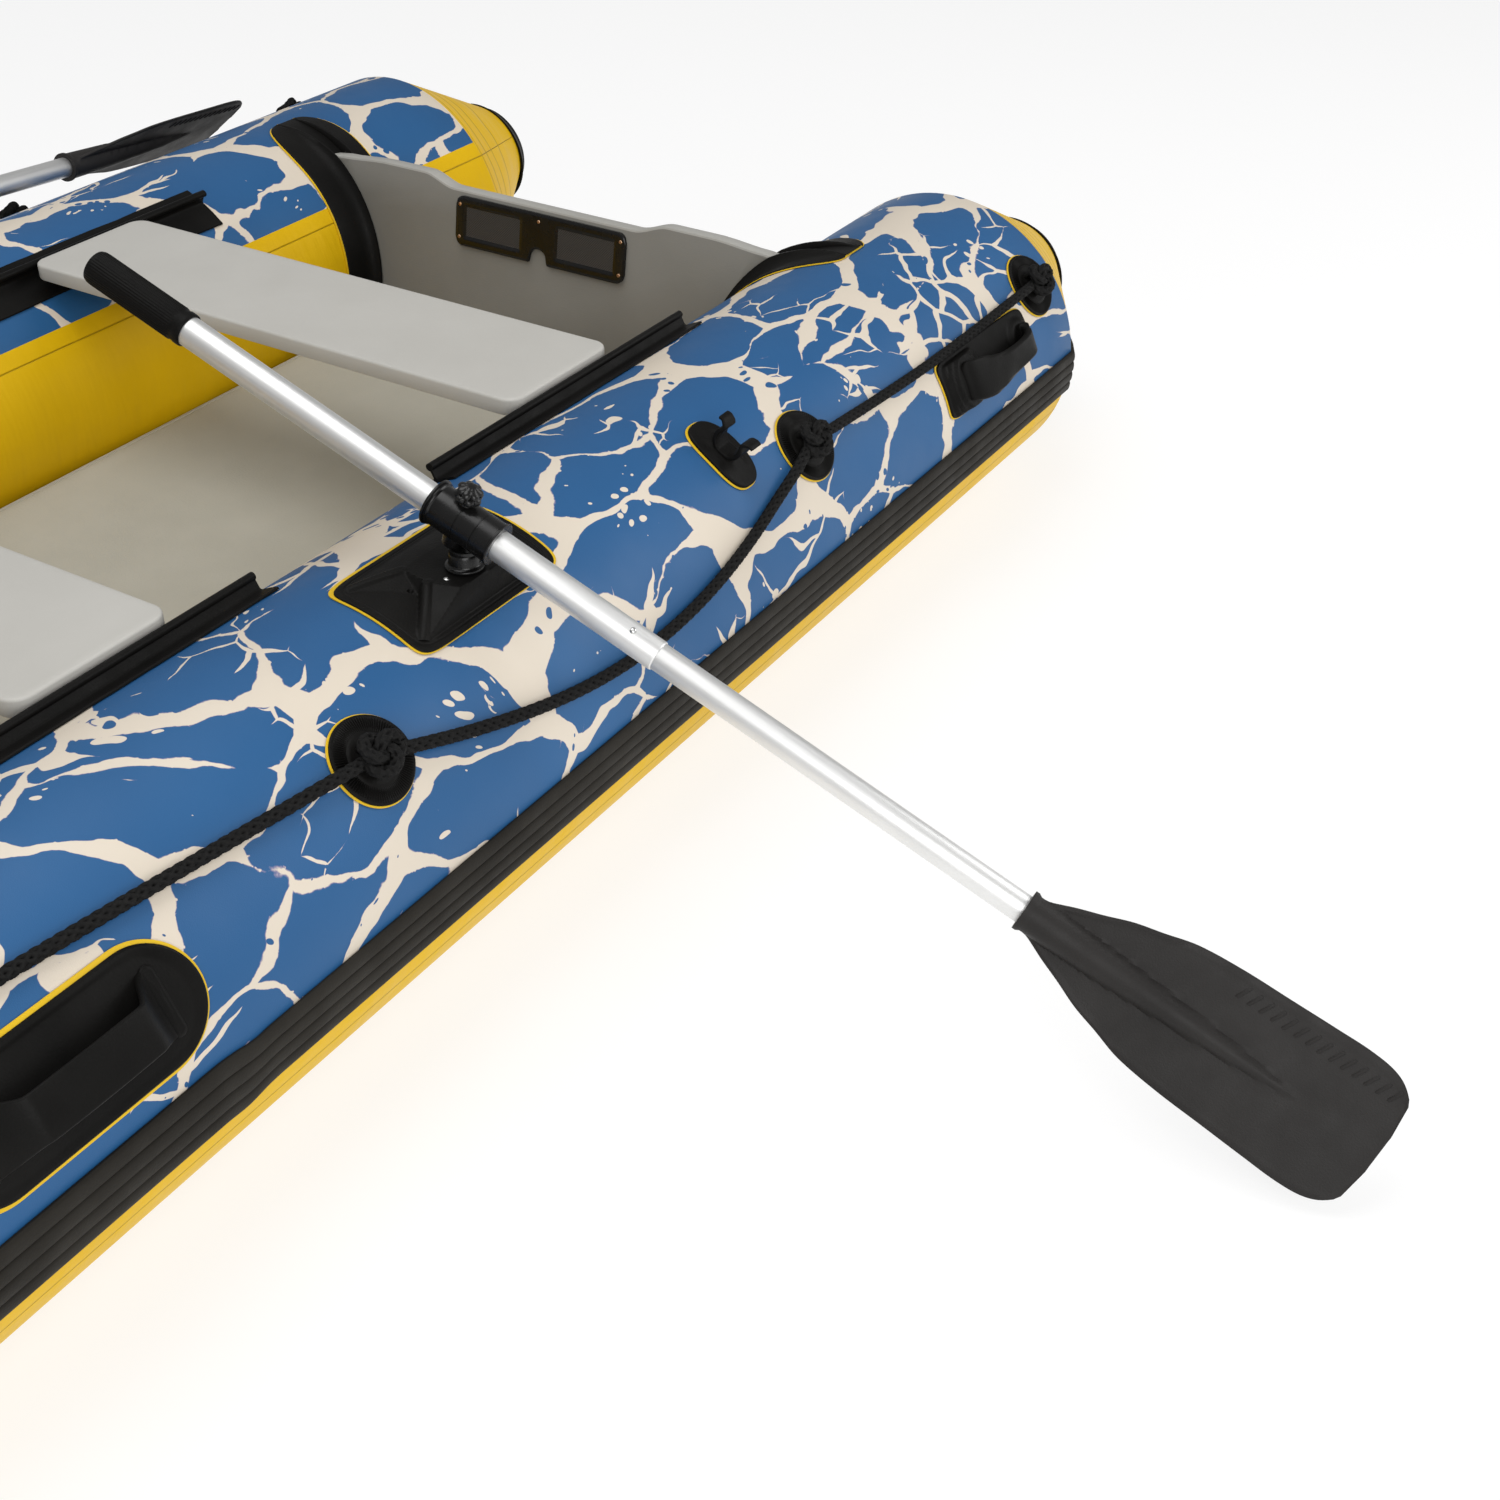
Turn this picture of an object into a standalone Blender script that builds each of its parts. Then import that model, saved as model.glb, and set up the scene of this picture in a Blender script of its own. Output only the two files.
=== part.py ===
# Inflatable boat with air deck, two sliding seats, a transom for an outboard motor and two oars.
# Metres. +X is port, +Y is aft, +Z is up. The origin is on the ground under the middle of the hull.

import math

import bmesh
import bpy
from mathutils import Matrix, Vector

# General sizes
GAP = 0.0003                    # between pieces that touch
PATCH_GAP = 0.0010              # between a glued patch and the faceted tube under it
MERGE = 0.0001                  # welding distance
OVERRUN = 0.004                 # how far a cutter runs past what it cuts
TUBE_SIDES = 36
TURN_STEPS = 16

# Hull tubes
TUBE_RADIUS = 0.210
HALF_SPACING = 0.533            # from the middle of the boat to a side tube's centre
SKIN = 0.0012                   # coated fabric
CHAMBER_JOINT_Y = -0.430        # where the bow chamber meets the side chambers
CONE_START_Y = 1.330
CONE_END_Y = 1.575
CONE_END_RADIUS = 0.073
CONE_RISE = 0.018
BAFFLE_DEPTH = 0.050            # bulge of the fabric wall at each end of the bow chamber

# Bow curve: a quarter of an ellipse on each side, seen from above
BOW_START_Y = -0.700
BOW_LENGTH = 0.690
BOW_RISE = 0.130
BOW_STEPS = 9                   # along each side
ARC_STEPS = 120                 # used to measure the curve

# Stern caps
STERN_CAP_RADIUS = 0.078
STERN_CAP_LENGTH = 0.046
STERN_CAP_END_RADIUS = 0.050
STERN_CAP_WALL = 0.004

# Rub strake
STRAKE_ANGLE = -4.8             # its middle, in degrees up from outboard
STRAKE_WIDTH = 0.063
STRAKE_BOW_WIDTH = 0.072
STRAKE_THICKNESS = 0.006
STRAKE_RIB = 0.003
STRAKE_RIBS = 4

# Bottom
BOTTOM_INNER_FACETS = 4         # where the bottom leaves the tube, in facets inboard of straight down
BOTTOM_OUTER_FACETS = 2
BOTTOM_END_Y = 1.010
KEEL_HEIGHT = 0.0036
KEEL_RISE_Y = -0.720
KEEL_GUARD_WIDTH = 0.060
KEEL_GUARD_THICKNESS = 0.0030
KEEL_GUARD_FORE_Y = -0.700
BOTTOM_BOW_STEPS = 8            # of the bow's steps, on each side

# Air deck
DECK_TOP = 0.1665
DECK_THICKNESS = 0.090
DECK_SIDE_GAP = 0.0015
DECK_HALF_WIDTH = HALF_SPACING - TUBE_RADIUS - DECK_SIDE_GAP
DECK_AFT_Y = 0.930
DECK_FORE_SHARE = 0.3043        # of the bow's length, from its front to the bow tube
DECK_FORE_Y = BOW_START_Y - (1.0 - DECK_FORE_SHARE) * BOW_LENGTH + TUBE_RADIUS
DECK_SHOULDER_Y = -0.640
DECK_NOSE_SHARE = 0.622
DECK_NOSE_HALF_WIDTH = DECK_NOSE_SHARE * DECK_HALF_WIDTH
DECK_SKIN = 0.0020
DECK_VALVE_RADIUS = 0.020
DECK_VALVE_Y = DECK_FORE_Y + 0.070
DECK_CORNER_STEPS = 6

# Transom board
BOARD_Y = 1.0038                # forward face at the height of the tubes' centres
BOARD_TILT = 10.0               # degrees, top aft
BOARD_THICKNESS = 0.028
BOARD_CLEAR = 0.0115            # from its edge to the tube
BOARD_BOTTOM_ANGLE = 222.0
BOARD_SIDE_TOP_ANGLE = 122.0
BOARD_SIDE_STEPS = 9
BOARD_SHOULDER = TUBE_RADIUS - 0.013     # heights above the tubes' centres
BOARD_NOTCH = BOARD_SHOULDER - 0.015
BOARD_NOTCH_HALF_WIDTH = 0.165
BOARD_SHOULDER_HALF_WIDTH = 0.225
BOARD_TOP_INSET_SHARE = 0.681
BOARD_TOP_HALF_WIDTH = HALF_SPACING - BOARD_TOP_INSET_SHARE * TUBE_RADIUS
BOARD_CORNER_DROP = 0.006
BOARD_BOTTOM_CLEAR = 0.006      # over the bottom skin

# Transom flanges
FLANGE_TOP_ANGLE = 93.0
FLANGE_BOTTOM_ANGLE = 225.0
FLANGE_STEPS = 14
FLANGE_BASE = 0.0028
FLANGE_LIP = 0.0180             # height of the lips that hold the board
FLANGE_LIP_WALL = 0.0050
FLANGE_FORE = 0.062
FLANGE_AFT = 0.050
FLANGE_END_FORE = 0.012
FLANGE_END_AFT = 0.012
FLANGE_LOBE = 0.22               # share of the length over which each end rounds off
FLANGE_ROUNDING = (0.010, 0.033) # shares of the length with a ring each, near both ends

# Motor pads
INNER_PAD_HALF_WIDTH = 0.157
INNER_PAD_TOP = BOARD_NOTCH - 0.0084
INNER_PAD_BOTTOM = BOARD_NOTCH - 0.0835
INNER_PAD_THICKNESS = 0.006
OUTER_PAD_HALF_WIDTH = 0.165
OUTER_PAD_TOP = BOARD_NOTCH - 0.004
OUTER_PAD_BOTTOM = BOARD_NOTCH - 0.222
OUTER_PAD_THICKNESS = 0.004
PAD_CORNER = 0.014
PAD_CORNER_STEPS = 4
PAD_NOTCH_HALF_WIDTH = 0.016
PAD_NOTCH_DEPTH = 0.022
PAD_RECESS_DEPTH = 0.002
PAD_RECESS_MARGIN = 0.010

# Seats
SEAT_LENGTH = 0.826             # across the boat
SEAT_WIDTH = 0.2009
SEAT_THICKNESS = 0.022
SEAT_CORNER = 0.022
SEAT_EDGE = 0.003
SEAT_CORNER_STEPS = 5
SEAT_AFT_Y = 0.430              # forward edges of the two seats
SEAT_FORE_Y = -0.3279
SEAT_FOOT_WIDTH = 0.110
SEAT_FOOT_LENGTH = 0.026
SEAT_FOOT_INSET = 0.004
SEAT_FOOT_CLEAR = 0.0019        # over the track's band

# Seat tracks
TRACK_BAND_BELOW = 0.046        # band width on the inboard side of the fin
TRACK_BAND_ABOVE = 0.030
TRACK_BAND = 0.0026
TRACK_FIN = 0.0160
TRACK_FIN_WIDTH = 0.0030
TRACK_BEAD_RADIUS = 0.0048
TRACK_LAND_SHARES = (0.0, 0.25, 0.5, 0.75, 1.0)
TRACK_EDGE_SHARE = 0.9
AFT_TRACK_FORE_Y = 0.260
AFT_TRACK_LENGTH = 0.510
FORE_TRACK_FORE_Y = -0.545
FORE_TRACK_LENGTH = 0.520

# Where the seats meet the tracks: the seats' length sets how far round the tubes the tracks lie
SEAT_END_CLEAR = 0.01045        # from a seat's end to the middle of the bead
SEAT_OVER_BEAD = 0.0086         # from the middle of the bead up to the seat's top
BEAD_REACH = TUBE_RADIUS + PATCH_GAP + TRACK_BAND + TRACK_FIN
TRACK_TURN = math.acos((SEAT_LENGTH / 2 + SEAT_END_CLEAR - HALF_SPACING) / BEAD_REACH)
TRACK_ANGLE = math.degrees(TRACK_TURN)   # up from outboard, at the fin
SEAT_TOP = TUBE_RADIUS + BEAD_REACH * math.sin(TRACK_TURN) + SEAT_OVER_BEAD
FOOT_OFFSET = HALF_SPACING - SEAT_LENGTH / 2 + SEAT_FOOT_INSET
BAND_REACH = TUBE_RADIUS + PATCH_GAP + TRACK_BAND + SEAT_FOOT_CLEAR
BAND_TOP = TUBE_RADIUS + math.sqrt(max(0.0, BAND_REACH ** 2 - FOOT_OFFSET ** 2))
SEAT_FOOT_HEIGHT = SEAT_TOP - SEAT_THICKNESS - BAND_TOP

# Rowlock bases
ROWLOCK_BASE_Y = 0.0875
ROWLOCK_BASE_ANGLE = 75.0
ROWLOCK_BASE_HALF_LENGTH = 0.1165
ROWLOCK_BASE_HALF_WIDTH = 0.0690
ROWLOCK_BASE_RIM = 0.0030
ROWLOCK_SEAT_HEIGHT = 0.0200
ROWLOCK_SEAT_HALF = 0.034
PATCH_SEGMENTS = 24

# Oar pivots, where the swivel's upright axis and the oar's axis cross
SWIVEL_ANGLE = 69.357           # of the swivel's foot, degrees up from outboard
SWIVEL_FOOT_LIFT = 0.02402      # of its foot from the tube
PIVOT_HEIGHT = 0.0533           # over the foot
PIVOT_X = HALF_SPACING + (TUBE_RADIUS + SWIVEL_FOOT_LIFT) * math.cos(math.radians(SWIVEL_ANGLE))
PIVOT_Y = 0.0853
SWIVEL_FOOT_Z = TUBE_RADIUS + (TUBE_RADIUS + SWIVEL_FOOT_LIFT) * math.sin(math.radians(SWIVEL_ANGLE))
PIVOT_Z = SWIVEL_FOOT_Z + PIVOT_HEIGHT
SWIVEL_FLANGE_RADIUS = 0.0270
SWIVEL_FLANGE = 0.0040
SWIVEL_NECK_RADIUS = 0.0140
SWIVEL_CUP_RADIUS = 0.0345      # of the hollow in its top, round the pivot
SWIVEL_CUP_CLEAR = 0.0005
SWIVEL_CUP_STEPS = 4
SWIVEL_STEM_RADIUS = 0.0080
SWIVEL_STEM_LENGTH = 0.0100
SWIVEL_STEM_CLEAR = 0.0006

# Oars, measured along the shaft from the pivot, outboard positive
OAR_DIP = {1: 22.68, -1: 6.7}           # degrees down outboard, for port and starboard
OAR_YAW = {1: 3.85, -1: 82.3}           # degrees swung aft of abeam
OAR_ROLL = {1: 57.4, -1: 40.0}          # turn of the blade about the shaft
UPPER_RADIUS = 0.0163
LOWER_RADIUS = 0.0148
SHAFT_WALL = 0.0012
UPPER_START = -0.470
UPPER_END = 0.247
LOWER_START = 0.150
LOWER_END = 0.780
GRIP_START = -0.478
GRIP_END = -0.352
GRIP_RADIUS = 0.0190
GRIP_END_WALL = 0.004
SLEEVE_OUTER_END = 0.0475       # along the shaft, outboard and inboard of the pivot
SLEEVE_INNER_END = 0.0340
SLEEVE_RADIUS = 0.0225
SLEEVE_FLANGE_RADIUS = 0.0255
SLEEVE_FLANGE = 0.0050
SLEEVE_BOSS_RADIUS = 0.0120
KNOB_RADIUS = 0.0150
KNOB_HEIGHT = 0.0260
KNOB_LOBES = 6
KNOB_LOBE_SHARE = 0.09
BUTTON_AT = 0.214
BUTTON_RADIUS = 0.0036
BUTTON_PROUD = 0.0026
BUTTON_HEAD_RADIUS = 0.0052
BUTTON_HEAD = 0.0016
BUTTON_ANGLE = 33.0             # from the blade's face towards its lower edge
BUTTON_CLEAR = 0.0004

# Blades
BLADE_START = 0.682
BLADE_LENGTH = 0.398
BLADE_HALF_WIDTH = 0.077
BLADE_THICKNESS = 0.005
BLADE_COLLAR_RADIUS = 0.0215
BLADE_SOCKET_RADIUS = 0.0195
BLADE_SOCKET_DEPTH = 0.102
BLADE_SPINE_END = 0.305
BLADE_TIP_RADIUS = 0.0030
BLADE_OUTLINE_SHARES = (
    (0.010, 0.20), (0.050, 0.28), (0.100, 0.39), (0.163, 0.51), (0.231, 0.65), (0.302, 0.75),
    (0.384, 0.87), (0.503, 0.935), (0.628, 0.961), (0.754, 0.987), (0.854, 1.000), (0.925, 0.955),
    (0.972, 0.820), (0.995, 0.620), (1.000, 0.300),
)

# Oar clips
CLIP_Y = 0.513
CLIP_ANGLE = 55.0
CLIP_BASE_HALF_LENGTH = 0.031
CLIP_BASE_HALF_WIDTH = 0.051
CLIP_BASE = 0.005
CLIP_BORE = 0.0150
CLIP_WALL = 0.0040
CLIP_CENTRE = 0.0250
CLIP_LENGTH = 0.026
CLIP_MOUTH = 55.0               # half the opening, degrees
CLIP_STEPS = 10

# Rope eyes and the grab line
EYE_1_Y = 1.262
EYE_2_Y = 0.642
EYE_3_Y = -0.153
EYE_4_Y = -0.980                # of the tube's centre beside it
EYE_ANGLES = (38.3, 41.2, 43.6, 62.0)
EYE_ROW_SHARES = ((0.5, 0.0), (1.0, 0.0), (1.0, 0.6), (0.9, 1.0), (0.5, 0.85))
EYE_RADIUS = 0.0475
EYE_BASE = 0.0040
EYE_BRIDGE_HALF_SPAN = 0.0170
EYE_BRIDGE_HEIGHT = 0.0260
EYE_BRIDGE_WIDTH = 0.0150
EYE_BRIDGE_WALL = 0.0050
EYE_SEGMENTS = 16
ROPE_RADIUS = 0.0055
ROPE_HEIGHT = 0.0142            # of its centre over the tube at an eye
ROPE_SAG_HEIGHT = 0.0085        # of its centre over the tube between eyes
ROPE_LEVEL_SHARE = 1.15         # of an eye's radius, over which the rope stays level
ROPE_SAG_ANGLES = (2.0, 21.0, -1.0)      # between one eye and the next, from aft
ROPE_BOW_ANGLE = 60.0
ROPE_END = 0.060                # past the last eye
ROPE_STEP = 0.105               # between points, away from the eyes
BOW_EYE_LIFT = 0.0015
STRETCH_REACH = 0.020           # over which a patch's stretch on the bow is measured

# Handles
STERN_HANDLE_Y = 1.0825
STERN_HANDLE_ANGLE = 24.8
STERN_HANDLE_HALF_LENGTH = 0.1325
STERN_HANDLE_HALF_WIDTH = 0.0400
STERN_HANDLE_BOW_HALF = 0.098
STERN_HANDLE_HEIGHT = 0.0380
STERN_HANDLE_STRAP = 0.0440
STERN_HANDLE_WALL = 0.0100
SIDE_HANDLE_Y = -0.570
SIDE_HANDLE_ANGLE = 28.0
SIDE_HANDLE_HALF_LENGTH = 0.146
SIDE_HANDLE_HALF_WIDTH = 0.0620
SIDE_HANDLE_BOW_HALF = 0.097
SIDE_HANDLE_HEIGHT = 0.0460
SIDE_HANDLE_STRAP = 0.0480
SIDE_HANDLE_WALL = 0.0050
HANDLE_BASE = 0.0040
HANDLE_STEPS = 10
BOW_HANDLE_ANGLE = 32.0

# Valves, half way between the seat tracks and the deck
SIDE_VALVE_Y = -0.320
BOW_VALVE_Y = -0.560
DECK_TURN = math.pi + math.asin((TUBE_RADIUS - DECK_TOP) / TUBE_RADIUS)
VALVE_ANGLE = math.degrees((TRACK_TURN + TRACK_BAND_BELOW / TUBE_RADIUS + DECK_TURN) / 2)
VALVE_PLACES = {
    "port_valve": (1, SIDE_VALVE_Y, VALVE_ANGLE),
    "starboard_valve": (-1, SIDE_VALVE_Y, VALVE_ANGLE),
    "bow_valve": (1, BOW_VALVE_Y, VALVE_ANGLE),
}
VALVE_FLANGE_RADIUS = 0.0300
VALVE_FLANGE = 0.0035
VALVE_BODY_RADIUS = 0.0200
VALVE_BODY_LENGTH = 0.0300
VALVE_WALL = 0.0020
VALVE_CLEAR = 0.0012
CAP_RADIUS = 0.0235
CAP_HEIGHT = 0.0080
CAP_GRIP_HEIGHT = 0.0060
CAP_GRIP_WIDTH = 0.0060
CAP_CORNER_SHARE = 0.88

UP = Vector((0.0, 0.0, 1.0))
SIDES = {"port": 1, "starboard": -1}

for old in list(bpy.data.objects):
    bpy.data.objects.remove(old)

boat = bpy.data.collections.new("inflatable_boat")
cutters = bpy.data.collections.new("cutters")
bpy.context.scene.collection.children.link(boat)
bpy.context.scene.collection.children.link(cutters)


def make_material(name, colour, roughness, metallic):
    """A Principled material of one colour."""
    material = bpy.data.materials.new(name)
    material.use_nodes = True
    shader = material.node_tree.nodes["Principled BSDF"]
    shader.inputs["Base Color"].default_value = (*colour, 1.0)
    shader.inputs["Roughness"].default_value = roughness
    shader.inputs["Metallic"].default_value = metallic
    material.diffuse_color = (*colour, 1.0)
    return material


PRINT_BLUE = make_material("print_fabric", (0.045, 0.125, 0.330), 0.45, 0.0)
BOTTOM_YELLOW = make_material("yellow_fabric", (0.700, 0.450, 0.010), 0.45, 0.0)
BLACK_RUBBER = make_material("black_rubber", (0.014, 0.013, 0.012), 0.55, 0.0)
BLACK_PLASTIC = make_material("black_plastic", (0.012, 0.012, 0.012), 0.40, 0.0)
DECK_GREY = make_material("deck_fabric", (0.380, 0.360, 0.310), 0.60, 0.0)
SEAT_GREY = make_material("seat_board", (0.540, 0.535, 0.500), 0.50, 0.0)
BOARD_GREY = make_material("transom_board", (0.230, 0.225, 0.195), 0.50, 0.0)
SATIN_ALUMINIUM = make_material("satin_aluminium", (0.800, 0.800, 0.790), 0.30, 1.0)
STEEL = make_material("steel", (0.600, 0.600, 0.600), 0.25, 1.0)
BLACK_ROPE = make_material("black_rope", (0.010, 0.010, 0.010), 0.80, 0.0)


def measure_bow():
    """The bow curve's length at even steps of its angle."""
    lengths = [0.0]
    for step in range(ARC_STEPS):
        a = math.pi / 2 * step / ARC_STEPS
        b = math.pi / 2 * (step + 1) / ARC_STEPS
        run = HALF_SPACING * (math.cos(b) - math.cos(a))
        rise = BOW_LENGTH * (math.sin(b) - math.sin(a))
        lengths.append(lengths[-1] + math.hypot(run, rise))
    return lengths


BOW_LENGTHS = measure_bow()
NOSE = BOW_LENGTHS[-1]


def bow_angle(distance):
    """The ellipse's angle at a distance along the bow curve."""
    for step in range(ARC_STEPS):
        if distance <= BOW_LENGTHS[step + 1]:
            part = (distance - BOW_LENGTHS[step]) / (BOW_LENGTHS[step + 1] - BOW_LENGTHS[step])
            return math.pi / 2 * (step + part) / ARC_STEPS
    return math.pi / 2


def spine(side, distance):
    """A tube's centre and its forward, outboard and up directions, past the bow curve's start."""
    if distance <= 0.0:
        centre = Vector((side * HALF_SPACING, BOW_START_Y - distance, TUBE_RADIUS))
        return centre, Vector((0.0, -1.0, 0.0)), Vector((side, 0.0, 0.0)), UP
    if distance > NOSE:
        centre, forward, outboard, up = spine(-side, 2 * NOSE - distance)
        return centre, -forward, outboard, up
    angle = bow_angle(distance)
    part = min(distance / NOSE, 1.0)
    height = TUBE_RADIUS + BOW_RISE * part * part * (3.0 - 2.0 * part)
    slope = 6.0 * BOW_RISE * part * (1.0 - part) / NOSE
    centre = Vector((
        side * HALF_SPACING * math.cos(angle),
        BOW_START_Y - BOW_LENGTH * math.sin(angle),
        height,
    ))
    forward = Vector((-side * HALF_SPACING * math.sin(angle), -BOW_LENGTH * math.cos(angle), 0.0))
    forward.normalize()
    outboard = Vector((-side * forward.y, side * forward.x, 0.0))
    forward = Vector((forward.x, forward.y, slope)).normalized()
    up = side * forward.cross(outboard)
    return centre, forward, outboard, up


def tube_point(side, distance, angle, radius):
    """A point at an angle up from outboard, in radians, round a side tube."""
    centre, forward, outboard, up = spine(side, distance)
    return centre + radius * (math.cos(angle) * outboard + math.sin(angle) * up)


def at_y(y):
    """The distance past the bow curve's start of a place on the straight tube."""
    return BOW_START_Y - y


def link_object(name, mesh, material, smooth_angle=35.0):
    """Put a mesh in the boat's collection under its piece's name."""
    mesh.materials.clear()
    mesh.materials.append(material)
    mesh.shade_smooth()
    mesh.set_sharp_from_angle(angle=math.radians(smooth_angle))
    piece = bpy.data.objects.new(name, mesh)
    mesh.name = name
    boat.objects.link(piece)
    return piece


def link_cutter(name, mesh):
    """Put a mesh among the cutters, hidden from the result."""
    cutter = bpy.data.objects.new(name, mesh)
    cutter.hide_render = True
    cutter.display_type = "WIRE"
    cutters.objects.link(cutter)
    return cutter


def add_boolean(piece, tool, operation):
    """Join or cut a piece with a tool that stays in the cutters."""
    modifier = piece.modifiers.new(operation.lower(), "BOOLEAN")
    modifier.operation = operation
    modifier.solver = "EXACT"
    modifier.object = tool


def loft(rings):
    """A closed mesh through rings of points, its ends closed by fans."""
    bm = bmesh.new()
    rows = [[bm.verts.new(point) for point in ring] for ring in rings]
    count = len(rows[0])
    for first, second in zip(rows[:-1], rows[1:]):
        for i in range(count):
            j = (i + 1) % count
            bm.faces.new((first[i], first[j], second[j], second[i]))
    for row in (rows[0], rows[-1]):
        middle = bm.verts.new(sum((vert.co for vert in row), Vector()) / count)
        for i in range(count):
            bm.faces.new((row[i], row[(i + 1) % count], middle))
    bmesh.ops.recalc_face_normals(bm, faces=bm.faces)
    mesh = bpy.data.meshes.new("loft")
    bm.to_mesh(mesh)
    bm.free()
    return mesh


def turned(profile, steps=TURN_STEPS):
    """A closed mesh turned about +Z from (radius, height) points that run top to bottom."""
    mesh = bpy.data.meshes.new("profile")
    mesh.from_pydata(
        [(radius, 0.0, height) for radius, height in profile],
        [(i, i + 1) for i in range(len(profile) - 1)],
        [],
    )
    holder = bpy.data.objects.new("profile", mesh)
    cutters.objects.link(holder)
    screw = holder.modifiers.new("screw", "SCREW")
    screw.axis = "Z"
    screw.steps = steps
    screw.render_steps = steps
    screw.use_merge_vertices = True
    screw.merge_threshold = MERGE
    return evaluated_mesh(holder)


def evaluated_mesh(holder):
    """The finished mesh of a scaffold object, welded, with the scaffold removed."""
    depsgraph = bpy.context.evaluated_depsgraph_get()
    mesh = bpy.data.meshes.new_from_object(holder.evaluated_get(depsgraph))
    bm = bmesh.new()
    bm.from_mesh(mesh)
    bmesh.ops.remove_doubles(bm, verts=bm.verts, dist=MERGE / 2)
    bmesh.ops.recalc_face_normals(bm, faces=bm.faces)
    bm.to_mesh(mesh)
    bm.free()
    bpy.data.objects.remove(holder)
    return mesh


def bevelled_curve(points, radius, resolution, shares=None, caps=True):
    """A tube mesh along points, its radius scaled by one share a point."""
    curve = bpy.data.curves.new("tube", "CURVE")
    curve.dimensions = "3D"
    curve.bevel_depth = radius
    curve.bevel_resolution = resolution
    curve.twist_mode = "Z_UP"
    curve.use_fill_caps = caps
    spline = curve.splines.new("POLY")
    spline.points.add(len(points) - 1)
    for i, point in enumerate(points):
        spline.points[i].co = (*point, 1.0)
        spline.points[i].radius = shares[i] if shares else 1.0
    holder = bpy.data.objects.new("tube", curve)
    cutters.objects.link(holder)
    return evaluated_mesh(holder)


def flat_outline(points, thickness):
    """A plate from an outline in X and Y, half its thickness to each side of Z 0."""
    curve = bpy.data.curves.new("outline", "CURVE")
    curve.dimensions = "2D"
    curve.fill_mode = "BOTH"
    curve.extrude = thickness / 2
    spline = curve.splines.new("POLY")
    spline.points.add(len(points) - 1)
    for i, (x, y) in enumerate(points):
        spline.points[i].co = (x, y, 0.0, 1.0)
    spline.use_cyclic_u = True
    holder = bpy.data.objects.new("outline", curve)
    cutters.objects.link(holder)
    return evaluated_mesh(holder)


def rounded_rectangle(half_x, half_y, corner, steps):
    """The outline of a rectangle with round corners, about its middle."""
    points = []
    for quarter, (sx, sy) in enumerate(((1, 1), (-1, 1), (-1, -1), (1, -1))):
        for step in range(steps + 1):
            angle = math.pi / 2 * (quarter + step / steps)
            points.append((
                sx * (half_x - corner) + corner * math.cos(angle),
                sy * (half_y - corner) + corner * math.sin(angle),
            ))
    return points


def cylinder_mesh(radius, length, segments=TURN_STEPS):
    """A closed cylinder along +Z, centred on its middle."""
    bm = bmesh.new()
    bmesh.ops.create_cone(
        bm, cap_ends=True, segments=segments, radius1=radius, radius2=radius, depth=length
    )
    mesh = bpy.data.meshes.new("cylinder")
    bm.to_mesh(mesh)
    bm.free()
    return mesh


def box_mesh(size_x, size_y, size_z):
    """A closed box about its middle."""
    bm = bmesh.new()
    bmesh.ops.create_cube(bm, size=1.0, matrix=Matrix.Diagonal((size_x, size_y, size_z, 1.0)))
    mesh = bpy.data.meshes.new("box")
    bm.to_mesh(mesh)
    bm.free()
    return mesh


def patch(half_u, half_v, power, rows, segments=PATCH_SEGMENTS):
    """A closed pad over a superellipse: rows give its share, height and shift, from inside out."""
    rings = []
    for share, height, shift_u, shift_v in rows:
        ring = []
        for i in range(segments):
            angle = 2 * math.pi * (i + 0.5) / segments
            x = math.cos(angle)
            y = math.sin(angle)
            reach = share / (abs(x) ** power + abs(y) ** power) ** (1 / power)
            ring.append((half_u * reach * x + shift_u, half_v * reach * y + shift_v, height))
        rings.append(ring)
    return loft(rings)


def pad_rows(height, foot_shares=(0.5, 1.0), edge_share=0.93):
    """Rows of a plain pad with a flat foot and a thin edge."""
    foot = tuple((share, 0.0, 0.0, 0.0) for share in foot_shares)
    edge = ((1.0, height / 2, 0.0, 0.0), (edge_share, height, 0.0, 0.0))
    return foot + edge + tuple((share, height, 0.0, 0.0) for share in reversed(foot_shares[:-1]))


def arch(half_span, height, width, wall, foot, steps, across=False):
    """A strap that rises from two feet, along X, or along Y if it goes across."""
    rings = []
    for step in range(steps + 1):
        angle = math.pi * step / steps
        normal = (-math.cos(angle), math.sin(angle))
        reach = -math.cos(angle) * half_span
        rise = foot + (height - foot) * math.sin(angle) ** 0.8
        ring = []
        for depth, side in ((0.0, -1), (0.0, 1), (-wall, 1), (-wall, -1)):
            along = reach + depth * normal[0]
            up = rise + depth * normal[1]
            if across:
                ring.append((side * width / 2, along, up))
            else:
                ring.append((along, side * width / 2, up))
        rings.append(ring)
    return loft(rings)


def wrap(mesh, side, distance, angle_degrees, lift=PATCH_GAP):
    """Bend a mesh laid out as aft, round and out onto a side tube."""
    middle = math.radians(angle_degrees)
    before = tube_point(side, distance - STRETCH_REACH, middle, TUBE_RADIUS)
    after = tube_point(side, distance + STRETCH_REACH, middle, TUBE_RADIUS)
    stretch = (after - before).length / (2 * STRETCH_REACH)
    bm = bmesh.new()
    bm.from_mesh(mesh)
    for vert in bm.verts:
        u, v, h = vert.co
        turn = middle + v / TUBE_RADIUS
        vert.co = tube_point(side, distance - u / stretch, turn, TUBE_RADIUS + lift + h)
    bmesh.ops.recalc_face_normals(bm, faces=bm.faces)
    bm.to_mesh(mesh)
    bm.free()
    return mesh


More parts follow.
